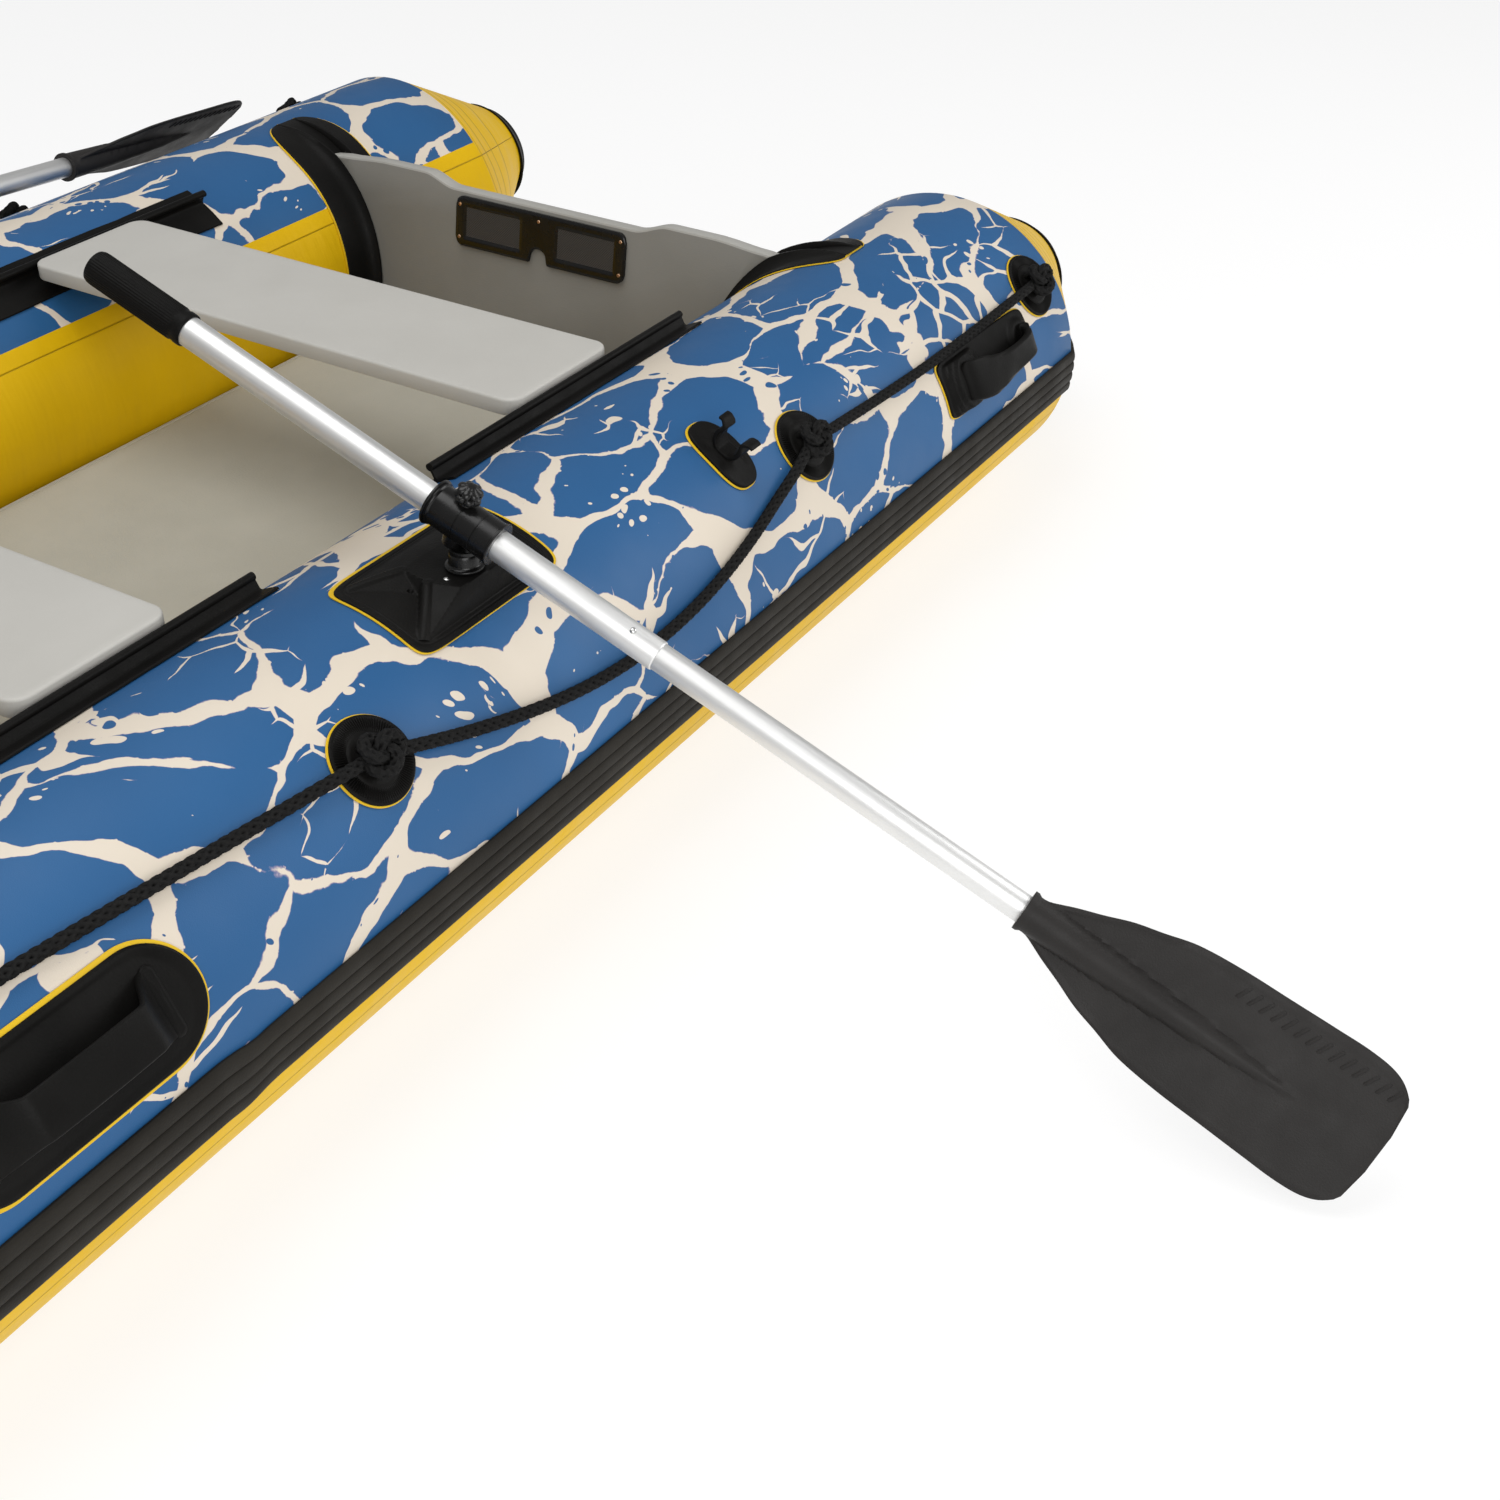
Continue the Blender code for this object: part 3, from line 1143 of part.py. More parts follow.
def oar_grip(label, frame):
    """The hand grip, a closed tube over the shaft's end."""
    bore = UPPER_RADIUS + GAP
    deep = GRIP_START + GRIP_END_WALL
    profile = (
        (bore, GRIP_END), (GRIP_RADIUS * 0.96, GRIP_END), (GRIP_RADIUS, GRIP_END - GRIP_END_WALL),
        (GRIP_RADIUS, GRIP_START + GRIP_END_WALL), (GRIP_RADIUS * 0.8, GRIP_START), (0.0, GRIP_START),
    )
    inside = ((0.0, deep), (bore, deep), (bore, GRIP_END))
    grip = link_object(label + "_oar_grip", turned(profile + inside), BLACK_RUBBER)
    grip.matrix_world = frame @ ALONG_SHAFT


def oar_sleeve(label, frame, upright):
    """The clamp on the shaft, with end flanges and a rounded boss that sits over the swivel."""
    bore = UPPER_RADIUS + GAP
    outer = SLEEVE_OUTER_END
    inner = -SLEEVE_INNER_END
    profile = (
        (bore, outer), (SLEEVE_FLANGE_RADIUS, outer), (SLEEVE_FLANGE_RADIUS, outer - SLEEVE_FLANGE),
        (SLEEVE_RADIUS, outer - SLEEVE_FLANGE), (SLEEVE_RADIUS, inner + SLEEVE_FLANGE),
        (SLEEVE_FLANGE_RADIUS, inner + SLEEVE_FLANGE), (SLEEVE_FLANGE_RADIUS, inner), (bore, inner),
        (bore, outer),
    )
    sleeve = link_object(label + "_oar_sleeve", turned(profile), BLACK_PLASTIC)
    sleeve.matrix_world = frame @ ALONG_SHAFT
    start = (bore + SLEEVE_RADIUS) / 2
    ball = ball_profile(SWIVEL_CUP_RADIUS - SWIVEL_CUP_CLEAR, SLEEVE_BOSS_RADIUS, SWIVEL_CUP_STEPS)
    profile = [(0.0, -start), (SLEEVE_BOSS_RADIUS, -start)] + ball
    boss = link_cutter(label + "_oar_sleeve_boss", turned(profile, 12))
    boss.matrix_world = upright
    add_boolean(sleeve, boss, "UNION")


def oar_knob(label, upright):
    """The lobed knob on top of the sleeve."""
    rows = (
        (0.35, 0.0), (0.55, 0.02), (0.60, 0.22), (0.95, 0.36), (1.0, 0.58), (0.85, 0.82), (0.45, 1.0),
    )
    rings = []
    for share, height in rows:
        ring = []
        for i in range(4 * KNOB_LOBES):
            angle = 2 * math.pi * i / (4 * KNOB_LOBES)
            lobe = 1.0 - KNOB_LOBE_SHARE * (1.0 - math.cos(KNOB_LOBES * angle)) * (share > 0.7)
            reach = KNOB_RADIUS * share * lobe
            ring.append((reach * math.cos(angle), reach * math.sin(angle), KNOB_HEIGHT * height))
        rings.append(ring)
    knob = link_object(label + "_oar_knob", loft(rings), BLACK_PLASTIC)
    knob.matrix_world = upright @ Matrix.Translation((0.0, 0.0, SLEEVE_RADIUS + GAP))


def oar_blade(label, frame):
    """A flat blade with a socket and a spine that runs out to a point."""
    half = [(BLADE_START + BLADE_LENGTH * x, BLADE_HALF_WIDTH * y) for x, y in BLADE_OUTLINE_SHARES]
    outline = half + [(x, -y) for x, y in reversed(half)]
    blade = link_object(label + "_oar_blade", flat_outline(outline, BLADE_THICKNESS), BLACK_PLASTIC)
    blade.matrix_world = frame
    end = BLADE_START + BLADE_SPINE_END
    socket = BLADE_START + BLADE_SOCKET_DEPTH
    spine_profile = (
        (0.0, end), (BLADE_TIP_RADIUS, end), (BLADE_SOCKET_RADIUS * 0.55, end - 0.25 * BLADE_SPINE_END),
        (BLADE_SOCKET_RADIUS * 0.9, socket + GRIP_END_WALL), (BLADE_SOCKET_RADIUS, BLADE_START + SLEEVE_FLANGE),
        (BLADE_COLLAR_RADIUS, BLADE_START + SLEEVE_FLANGE), (BLADE_COLLAR_RADIUS, BLADE_START),
        (0.0, BLADE_START),
    )
    spine_tool = link_cutter(label + "_oar_blade_spine", turned(spine_profile))
    spine_tool.matrix_world = frame @ ALONG_SHAFT
    add_boolean(blade, spine_tool, "UNION")
    bore_profile = (
        (0.0, socket), (LOWER_RADIUS + GAP, socket), (LOWER_RADIUS + GAP, BLADE_START - OVERRUN),
        (0.0, BLADE_START - OVERRUN),
    )
    bore = link_cutter(label + "_oar_blade_bore", turned(bore_profile))
    bore.matrix_world = frame @ ALONG_SHAFT
    add_boolean(blade, bore, "DIFFERENCE")


def oar_clip(name, side):
    """An open clip on an oval pad, its mouth facing out."""
    base_mesh = patch(CLIP_BASE_HALF_LENGTH, CLIP_BASE_HALF_WIDTH, 2.4, pad_rows(CLIP_BASE), 16)
    base = link_object(name, wrap(base_mesh, side, at_y(CLIP_Y), CLIP_ANGLE), BLACK_RUBBER)
    rings = []
    mouth = math.radians(CLIP_MOUTH)
    for step in range(CLIP_STEPS + 1):
        angle = math.pi / 2 + mouth + (2 * math.pi - 2 * mouth) * step / CLIP_STEPS
        ring = []
        for radius, end in ((CLIP_BORE, -1), (CLIP_BORE, 1), (CLIP_BORE + CLIP_WALL, 1), (CLIP_BORE + CLIP_WALL, -1)):
            ring.append((
                end * CLIP_LENGTH / 2,
                radius * math.cos(angle),
                CLIP_CENTRE + radius * math.sin(angle),
            ))
        rings.append(ring)
    jaws = link_cutter(name + "_jaws", loft(rings))
    set_on_tube(jaws, side, at_y(CLIP_Y), CLIP_ANGLE, PATCH_GAP)
    add_boolean(base, jaws, "UNION")
    foot_height = CLIP_CENTRE - CLIP_BORE - CLIP_BASE / 2
    foot = link_cutter(name + "_foot", box_mesh(CLIP_LENGTH, CLIP_BORE, foot_height))
    set_on_tube(foot, side, at_y(CLIP_Y), CLIP_ANGLE, PATCH_GAP + CLIP_BASE / 2 + foot_height / 2 - GAP)
    add_boolean(base, foot, "UNION")


def eye_places():
    """Distance and angle of each rope eye along one side."""
    reaches = [at_y(y) for y in (EYE_1_Y, EYE_2_Y, EYE_3_Y)]
    angle = math.asin((BOW_START_Y - EYE_4_Y) / BOW_LENGTH)
    step = angle / (math.pi / 2) * ARC_STEPS
    first = int(step)
    reaches.append(BOW_LENGTHS[first] + (step - first) * (BOW_LENGTHS[first + 1] - BOW_LENGTHS[first]))
    return list(zip(reaches, EYE_ANGLES))


def rope_eye(name, side, distance, angle, lift):
    """A round pad with a bridge that the rope passes under."""
    rows = [(share, EYE_BASE * height, 0.0, 0.0) for share, height in EYE_ROW_SHARES]
    mesh = wrap(patch(EYE_RADIUS, EYE_RADIUS, 2.0, rows, EYE_SEGMENTS), side, distance, angle, lift)
    eye = link_object(name, mesh, BLACK_RUBBER)
    bridge = link_cutter(
        name + "_bridge",
        arch(EYE_BRIDGE_HALF_SPAN, EYE_BRIDGE_HEIGHT, EYE_BRIDGE_WIDTH, EYE_BRIDGE_WALL, EYE_BASE / 2, 6, True),
    )
    set_on_tube(bridge, side, distance, angle, lift)
    add_boolean(eye, bridge, "UNION")


def rope_route(side):
    """The rope's points along one side, from aft of the first eye to the nose."""
    places = eye_places()
    level = ROPE_LEVEL_SHARE * EYE_RADIUS
    reaches = [places[0][0] - ROPE_END]
    for i, (distance, _) in enumerate(places):
        if i > 0:
            reaches.append(distance - level)
        reaches.append(distance)
        reaches.append(distance + level)
        following = places[i + 1][0] - level if i + 1 < len(places) else NOSE
        run = following - distance - level
        steps = max(1, round(run / ROPE_STEP))
        reaches += [distance + level + run * step / steps for step in range(1, steps)]
    reaches.append(NOSE)
    return [rope_point(side, reach, places) for reach in reaches]


def rope_point(side, reach, places):
    """One point of the rope: held high at the eyes, lying lower on the tube between them."""
    angle = places[0][1]
    height = ROPE_HEIGHT
    for (first, a), (second, b), sag in zip(places[:-1], places[1:], ROPE_SAG_ANGLES):
        if first <= reach <= second:
            part = (reach - first) / (second - first)
            angle = a + (b - a) * part - sag * math.sin(math.pi * part)
            near = min(reach - first, second - reach) / EYE_RADIUS - ROPE_LEVEL_SHARE
            height = ROPE_HEIGHT + (ROPE_SAG_HEIGHT - ROPE_HEIGHT) * max(0.0, min(1.0, near))
    last, a = places[-1]
    if reach > last:
        part = (reach - last) / (NOSE - last)
        angle = a + (ROPE_BOW_ANGLE - a) * part
        near = (reach - last) / EYE_RADIUS - ROPE_LEVEL_SHARE
        height = ROPE_HEIGHT + (ROPE_SAG_HEIGHT - ROPE_HEIGHT) * max(0.0, min(1.0, near))
    return tube_point(side, reach, math.radians(angle), TUBE_RADIUS + height)


def grab_line():
    """The rope round the hull, from one stern eye to the other by way of the bow."""
    port = rope_route(1)
    starboard = rope_route(-1)
    points = port[:-1] + list(reversed(starboard))
    link_object("grab_line", bevelled_curve(points, ROPE_RADIUS, 2), BLACK_ROPE)


def handle(name, side, distance, angle, sizes, foot_shares=(0.5, 1.0)):
    """A moulded carry handle: a pad and a strap that rises over it."""
    half_u, half_v, power, bow_half, height, strap, wall = sizes
    rows = pad_rows(HANDLE_BASE, foot_shares)
    mesh = wrap(patch(half_u, half_v, power, rows, 20), side, distance, angle)
    base = link_object(name, mesh, BLACK_RUBBER)
    bow = link_cutter(
        name + "_bow", arch(bow_half, height, strap, wall, HANDLE_BASE / 2, HANDLE_STEPS)
    )
    wrap(bow.data, side, distance, angle)
    add_boolean(base, bow, "UNION")


STERN_HANDLE = (
    STERN_HANDLE_HALF_LENGTH, STERN_HANDLE_HALF_WIDTH, 6.0, STERN_HANDLE_BOW_HALF,
    STERN_HANDLE_HEIGHT, STERN_HANDLE_STRAP, STERN_HANDLE_WALL,
)
SIDE_HANDLE = (
    SIDE_HANDLE_HALF_LENGTH, SIDE_HANDLE_HALF_WIDTH, 3.0, SIDE_HANDLE_BOW_HALF,
    SIDE_HANDLE_HEIGHT, SIDE_HANDLE_STRAP, SIDE_HANDLE_WALL,
)

tubes = {
    "port_valve": side_tube("port_tube", 1),
    "starboard_valve": side_tube("starboard_tube", -1),
    "bow_valve": bow_tube(),
}
valves(tubes)
rub_strake()
hull_bottom()
keel_guard()
air_deck()
transom_board()
motor_pads()
seat("aft_seat", SEAT_AFT_Y)
seat("forward_seat", SEAT_FORE_Y)
grab_line()
handle("bow_handle", 1, NOSE, BOW_HANDLE_ANGLE, SIDE_HANDLE, (0.33, 0.66, 1.0))
for label, side in SIDES.items():
    stern_cap(label + "_stern_cap", side)
    transom_flange(label + "_transom_flange", side)
    seat_track(label + "_aft_seat_track", side, AFT_TRACK_FORE_Y, AFT_TRACK_LENGTH)
    seat_track(label + "_forward_seat_track", side, FORE_TRACK_FORE_Y, FORE_TRACK_LENGTH)
    rowlock_base(label + "_rowlock_base", side)
    rowlock_swivel(label + "_rowlock_swivel", side)
    frame, upright = oar_frame(side)
    oar_grip(label, frame)
    oar_shafts(label, side, frame)
    oar_sleeve(label, frame, upright)
    oar_knob(label, upright)
    oar_blade(label, frame)
    oar_clip(label + "_oar_clip", side)
    for number, (distance, angle) in enumerate(eye_places(), start=1):
        lift = PATCH_GAP if number < 4 else PATCH_GAP + BOW_EYE_LIFT
        rope_eye(label + "_rope_eye_" + str(number), side, distance, angle, lift)
    handle(label + "_stern_handle", side, at_y(STERN_HANDLE_Y), STERN_HANDLE_ANGLE, STERN_HANDLE)
    handle(label + "_side_handle", side, at_y(SIDE_HANDLE_Y), SIDE_HANDLE_ANGLE, SIDE_HANDLE)
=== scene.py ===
# The dressed inflatable boat: smooth tubes, printed fabric, rope and moulded fittings over the frame.
# Metres. +X is port, +Y is aft, +Z is up.

import bisect
import math

import bmesh
import bpy
from mathutils import Matrix, Vector


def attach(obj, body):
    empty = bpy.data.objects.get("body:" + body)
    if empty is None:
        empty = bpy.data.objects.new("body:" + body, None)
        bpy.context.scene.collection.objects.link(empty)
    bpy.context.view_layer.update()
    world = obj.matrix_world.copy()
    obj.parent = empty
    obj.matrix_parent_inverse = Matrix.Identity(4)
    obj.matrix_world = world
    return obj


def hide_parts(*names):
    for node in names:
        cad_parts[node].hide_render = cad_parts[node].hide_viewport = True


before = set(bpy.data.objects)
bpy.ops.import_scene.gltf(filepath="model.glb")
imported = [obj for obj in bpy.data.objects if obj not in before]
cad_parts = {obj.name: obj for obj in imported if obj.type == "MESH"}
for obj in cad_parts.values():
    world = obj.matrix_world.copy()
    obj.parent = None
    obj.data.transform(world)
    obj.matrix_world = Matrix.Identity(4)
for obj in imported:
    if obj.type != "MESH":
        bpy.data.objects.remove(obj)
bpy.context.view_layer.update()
scene = bpy.context.scene
scene.view_settings.view_transform = "Standard"

# Sizes, most of them repeated from the part
GAP = 0.0003
PATCH_GAP = 0.001
RADIUS = 0.21
HALF_SPACING = 0.533
SKIN = 0.0012
JOINT_Y = -0.43
CONE_START_Y = 1.33
CONE_END_Y = 1.575
CONE_END_RADIUS = 0.073
CONE_RISE = 0.018
BOW_START_Y = -0.7
BOW_LENGTH = 0.69
BOW_RISE = 0.13
ARC_STEPS = 120
STRAKE_ANGLE = -4.8
PRINT_TOP = 142.0               # where the print meets the plain inboard fabric
PRINT_LOW = -13.4
SEAM_TOP = 0.025                # inboard of the print's edge
SEAM_LOW = -24.0
DECK_TOP = 0.1665
DECK_THICKNESS = 0.09
DECK_HALF_WIDTH = HALF_SPACING - RADIUS - 0.0015
DECK_AFT_Y = 0.93
DECK_FORE_Y = BOW_START_Y - (1.0 - 0.3043) * BOW_LENGTH + RADIUS
DECK_SHOULDER_Y = -0.64
DECK_NOSE_HALF_WIDTH = 0.622 * DECK_HALF_WIDTH
BOARD_Y = 1.0038
BOARD_TILT = 10.0
BOARD_THICKNESS = 0.028
BOARD_SHOULDER = RADIUS - 0.013
BOARD_NOTCH = BOARD_SHOULDER - 0.015
BOARD_TOP_HALF_WIDTH = HALF_SPACING - 0.681 * RADIUS
BOARD_NOTCH_HALF = 0.165
BOARD_SHOULDER_HALF = 0.225
INNER_PAD_HALF = 0.157
INNER_PAD_TOP = BOARD_NOTCH - 0.0084
INNER_PAD_BOTTOM = BOARD_NOTCH - 0.0835
SEAT_LENGTH = 0.826
SEAT_WIDTH = 0.2009
SEAT_THICKNESS = 0.022
TRACK_BAND = 0.0026
TRACK_FIN = 0.016
BEAD_REACH = RADIUS + PATCH_GAP + TRACK_BAND + TRACK_FIN
TRACK_TURN = math.acos((SEAT_LENGTH / 2 + 0.01045 - HALF_SPACING) / BEAD_REACH)
SEAT_TOP = RADIUS + BEAD_REACH * math.sin(TRACK_TURN) + 0.0086
FOOT_OFFSET = HALF_SPACING - SEAT_LENGTH / 2 + 0.004
BAND_TOP = RADIUS + math.sqrt((RADIUS + PATCH_GAP + TRACK_BAND + 0.0019) ** 2 - FOOT_OFFSET ** 2)
SEAT_FOOT_HEIGHT = SEAT_TOP - SEAT_THICKNESS - BAND_TOP
BASE_Y = 0.0875
BASE_ANGLE = 75.0
SWIVEL_ANGLE = 69.357
SWIVEL_FOOT_LIFT = 0.02402
PIVOT_X = HALF_SPACING + (RADIUS + SWIVEL_FOOT_LIFT) * math.cos(math.radians(SWIVEL_ANGLE))
PIVOT_Y = 0.0853
FOOT_Z = RADIUS + (RADIUS + SWIVEL_FOOT_LIFT) * math.sin(math.radians(SWIVEL_ANGLE))
PIVOT_Z = FOOT_Z + 0.0533
OAR_DIP = {1: 22.68, -1: 6.7}
OAR_YAW = {1: 3.85, -1: 82.3}
OAR_ROLL = {1: 57.4, -1: 40.0}
UPPER_RADIUS = 0.0163
LOWER_RADIUS = 0.0148
SLEEVE_RADIUS = 0.0225
BLADE_START = 0.682
BLADE_LENGTH = 0.398
BLADE_HALF_WIDTH = 0.077
BLADE_OUTLINE = (
    (0.0, 0.1), (0.01, 0.2), (0.05, 0.28), (0.1, 0.39), (0.163, 0.51), (0.231, 0.65),
    (0.302, 0.75), (0.384, 0.87), (0.503, 0.935), (0.628, 0.961), (0.754, 0.987), (0.854, 1.0),
    (0.925, 0.955), (0.972, 0.82), (0.995, 0.62), (1.0, 0.3),
)
EYE_YS = (1.262, 0.642, -0.153)
EYE_4_Y = -0.98
EYE_ANGLES = (38.3, 41.2, 43.6, 62.0)
EYE_RADIUS = 0.0475
ROPE_SHOWN = 0.0071
ROPE_PITCH = 0.0125
ROPE_DEPTH = 0.72               # how far the strands' outer line shows in the radius
ROPE_HEIGHT = 0.0142
ROPE_SAG_HEIGHT = 0.0085
ROPE_SAG_ANGLES = (2.0, 21.0, -1.0)
ROPE_BOW_ANGLE = 60.0
ROPE_END = 0.016                # past the stern eye
BOTTOM_EDGE = math.radians(230.0)
BOTTOM_LAP = math.radians(250.0)
BOTTOM_REACH = RADIUS + PATCH_GAP + SKIN / 2
BOTTOM_RISE_Y = -0.72
BOTTOM_AFT_Y = 1.01
BOTTOM_SHIFT = 9.0              # keeps the tape seams off the bottom
KEEL_Z = 0.0036
CONE_LENGTH = CONE_END_Y - CONE_START_Y
STRAKE_WIDTH = 0.063
STRAKE_BOW_WIDTH = 0.072
STRAKE_WAVE = 0.0026
STRAKE_TAIL = 0.052             # past the cone's start
CONE_FOLDS = (1.345, 1.372, 1.405, 1.452)
FLANGE_START = 93.0
FLANGE_SWEEP = 132.0
TRACK_LOW = -0.03
TRACK_HIGH = 0.046
SEAT_YS = {"aft_seat": 0.43, "forward_seat": -0.3279}
TRACKS = {"_aft_seat_track": (0.26, 0.51), "_forward_seat_track": (-0.545, 0.52)}
CLIP_Y = 0.513
CLIP_ANGLE = 55.0
SIDE_HANDLE_Y = -0.57
SIDE_HANDLE_ANGLE = 28.0
BOW_HANDLE_ANGLE = 32.0
STERN_HANDLE_Y = 1.0825
STERN_HANDLE_ANGLE = 24.8
VALVES = (("port_valve", 1, -0.32), ("starboard_valve", -1, -0.32), ("bow_valve", 1, -0.56))
VALVE_ANGLE = math.degrees((
    TRACK_TURN + TRACK_HIGH / RADIUS + math.pi + math.asin((RADIUS - DECK_TOP) / RADIUS)
) / 2)
BALL_RADIUS = 0.0345            # the oar's boss and the cup that it tilts in
SNAP_REACH = 0.214
SNAP_TURN = 33.0                # past the shaft's side
UPPER_ENDS = (-0.47, 0.247)
LOWER_ENDS = (0.15, 0.78)
TUBE_WALL = 0.0012
PRINT_SHIFT = 4.37              # so that the two sides show different parts of the print
MERGE = 0.00002
UNROLLED = 0.016                # the radius at which turned pieces are unrolled for their grain
UP = Vector((0.0, 0.0, 1.0))
SIDES = {"port": 1, "starboard": -1}


def measure_bow():
    """The bow curve's length at even steps of its angle."""
    lengths = [0.0]
    for step in range(ARC_STEPS):
        a = math.pi / 2 * step / ARC_STEPS
        b = math.pi / 2 * (step + 1) / ARC_STEPS
        run = HALF_SPACING * (math.cos(b) - math.cos(a))
        rise = BOW_LENGTH * (math.sin(b) - math.sin(a))
        lengths.append(lengths[-1] + math.hypot(run, rise))
    return lengths


BOW_LENGTHS = measure_bow()
NOSE = BOW_LENGTHS[-1]


def spine(side, distance):
    """A tube's centre and its forward, outboard and up directions, past the bow curve's start."""
    if distance <= 0.0:
        centre = Vector((side * HALF_SPACING, BOW_START_Y - distance, RADIUS))
        return centre, Vector((0.0, -1.0, 0.0)), Vector((side, 0.0, 0.0)), UP
    if distance > NOSE:
        centre, forward, outboard, up = spine(-side, 2 * NOSE - distance)
        return centre, -forward, outboard, up
    step = min(ARC_STEPS - 1, max(0, bisect.bisect_left(BOW_LENGTHS, distance) - 1))
    share = (distance - BOW_LENGTHS[step]) / (BOW_LENGTHS[step + 1] - BOW_LENGTHS[step])
    angle = math.pi / 2 * (step + share) / ARC_STEPS
    part = min(distance / NOSE, 1.0)
    height = RADIUS + BOW_RISE * part * part * (3.0 - 2.0 * part)
    slope = 6.0 * BOW_RISE * part * (1.0 - part) / NOSE
    centre = Vector((
        side * HALF_SPACING * math.cos(angle), BOW_START_Y - BOW_LENGTH * math.sin(angle), height
    ))
    forward = Vector((-side * HALF_SPACING * math.sin(angle), -BOW_LENGTH * math.cos(angle), 0.0))
    forward.normalize()
    outboard = Vector((-side * forward.y, side * forward.x, 0.0))
    forward = Vector((forward.x, forward.y, slope)).normalized()
    return centre, forward, outboard, side * forward.cross(outboard)


def tube_point(side, distance, angle, radius):
    """A point at an angle up from outboard, in radians, round a side tube."""
    centre, forward, outboard, up = spine(side, distance)
    return centre + radius * (math.cos(angle) * outboard + math.sin(angle) * up)


def at_y(y):
    """The distance past the bow curve's start of a place on the straight tube."""
    return BOW_START_Y - y


def smooth_step(value, low, high):
    """From 0 to 1 with level ends."""
    share = min(1.0, max(0.0, (value - low) / (high - low)))
    return share * share * (3.0 - 2.0 * share)


def table_value(points, x):
    """A value read from (x, y) points with straight lines between them."""
    for (x0, y0), (x1, y1) in zip(points[:-1], points[1:]):
        if x <= x1:
            return y0 + (y1 - y0) * max(0.0, x - x0) / (x1 - x0)
    return points[-1][1]


def smooth_value(points, x):
    """A value read from (x, y) points with a smooth curve through them."""
    last = len(points) - 1
    for i in range(last):
        x1, y1 = points[i]
        x2, y2 = points[i + 1]
        if x <= x2:
            x0, y0 = points[max(0, i - 1)]
            x3, y3 = points[min(last, i + 2)]
            span = x2 - x1
            rise_1 = (y2 - y0) / (x2 - x0) * span
            rise_2 = (y3 - y1) / (x3 - x1) * span
            t = max(0.0, x - x1) / span
            bend = t * t * (3.0 - 2.0 * t)
            swing = t * (1.0 - t) * (1.0 - t) * rise_1 - t * t * (1.0 - t) * rise_2
            return y1 + (y2 - y1) * bend + swing
    return points[-1][1]


# Materials
class Look:
    """A Principled material whose nodes are added one by one; colours are red, green and blue."""

    def __init__(self, name, colour, roughness, shine=0.5, metallic=0.0):
        self.material = bpy.data.materials.new(name)
        self.material.use_nodes = True
        self.tree = self.material.node_tree
        self.shader = self.tree.nodes["Principled BSDF"]
        self.finish(colour, roughness)
        self.put(self.shader.inputs["Metallic"], metallic)
        self.put(self.shader.inputs["Specular IOR Level"], shine)
        self.here = self.node("ShaderNodeTexCoord").outputs["Object"]

    def put(self, socket, value):
        if isinstance(value, bpy.types.NodeSocket):
            self.tree.links.new(value, socket)
        else:
            socket.default_value = (*value, 1.0) if socket.type == "RGBA" else value

    def node(self, kind, inputs=(), **settings):
        made = self.tree.nodes.new(kind)
        for name, value in settings.items():
            setattr(made, name, value)
        for key, value in dict(inputs).items():
            self.put(made.inputs[key], value)
        return made

    def flat(self):
        """A place on the unrolled tube: along it, then round it."""
        return self.node("ShaderNodeUVMap", uv_map="tube").outputs["UV"]

    def calc(self, operation, a, b=0.0):
        return self.node("ShaderNodeMath", {0: a, 1: b}, operation=operation).outputs[0]

    def vector(self, operation, a, b):
        return self.node("ShaderNodeVectorMath", {0: a, 1: b}, operation=operation).outputs[0]

    def noise(self, where, scale, detail=3.0, output="Fac"):
        inputs = {"Vector": where, "Scale": scale, "Detail": detail}
        return self.node("ShaderNodeTexNoise", inputs).outputs[output]

    def cells(self, where, scale, feature):
        inputs = {"Vector": where, "Scale": scale, "Randomness": 1.0}
        made = self.node("ShaderNodeTexVoronoi", inputs, feature=feature, voronoi_dimensions="2D")
        return made.outputs["Distance"]

    def ranged(self, value, low, high, to_low=0.0, to_high=1.0):
        inputs = {"Value": value, "From Min": low, "From Max": high, "To Min": to_low, "To Max": to_high}
        return self.node("ShaderNodeMapRange", inputs).outputs["Result"]

    def drift(self, where, scale, detail, low=0.3, high=0.7, to_low=0.0, to_high=1.0):
        """Noise whose part between low and high is stretched to two other values."""
        return self.ranged(self.noise(where, scale, detail), low, high, to_low, to_high)

    def blend(self, share, a, b):
        made = self.node("ShaderNodeMix", {0: share}, data_type="RGBA")
        self.put(made.inputs[6], a)
        self.put(made.inputs[7], b)
        return made.outputs[2]

    def bump(self, height, distance, normal=None):
        inputs = {"Height": height, "Distance": distance}
        if normal is not None:
            inputs["Normal"] = normal
        return self.node("ShaderNodeBump", inputs).outputs["Normal"]

    def finish(self, colour=None, roughness=None, normal=None):
        for key, value in (("Base Color", colour), ("Roughness", roughness), ("Normal", normal)):
            if value is not None:
                self.put(self.shader.inputs[key], value)
        return self.material


def grained(name, colour, worn, roughness, scale, depth, shine):
    """A moulded or coated surface: fine grain, slow changes of colour and a few dull patches."""
    look = Look(name, colour, roughness, shine)
    fine = look.noise(look.here, scale)
    shade = look.blend(look.drift(look.here, 9.0, 4.0, 0.35, 0.75), colour, worn)
    shade = look.blend(look.ranged(fine, 0.3, 0.8, 0.0, 0.25), shade, worn)
    rough = look.drift(look.here, 30.0, 3.0, 0.3, 0.7, roughness - 0.06, roughness + 0.08)
    return look.finish(shade, rough, look.bump(fine, depth))


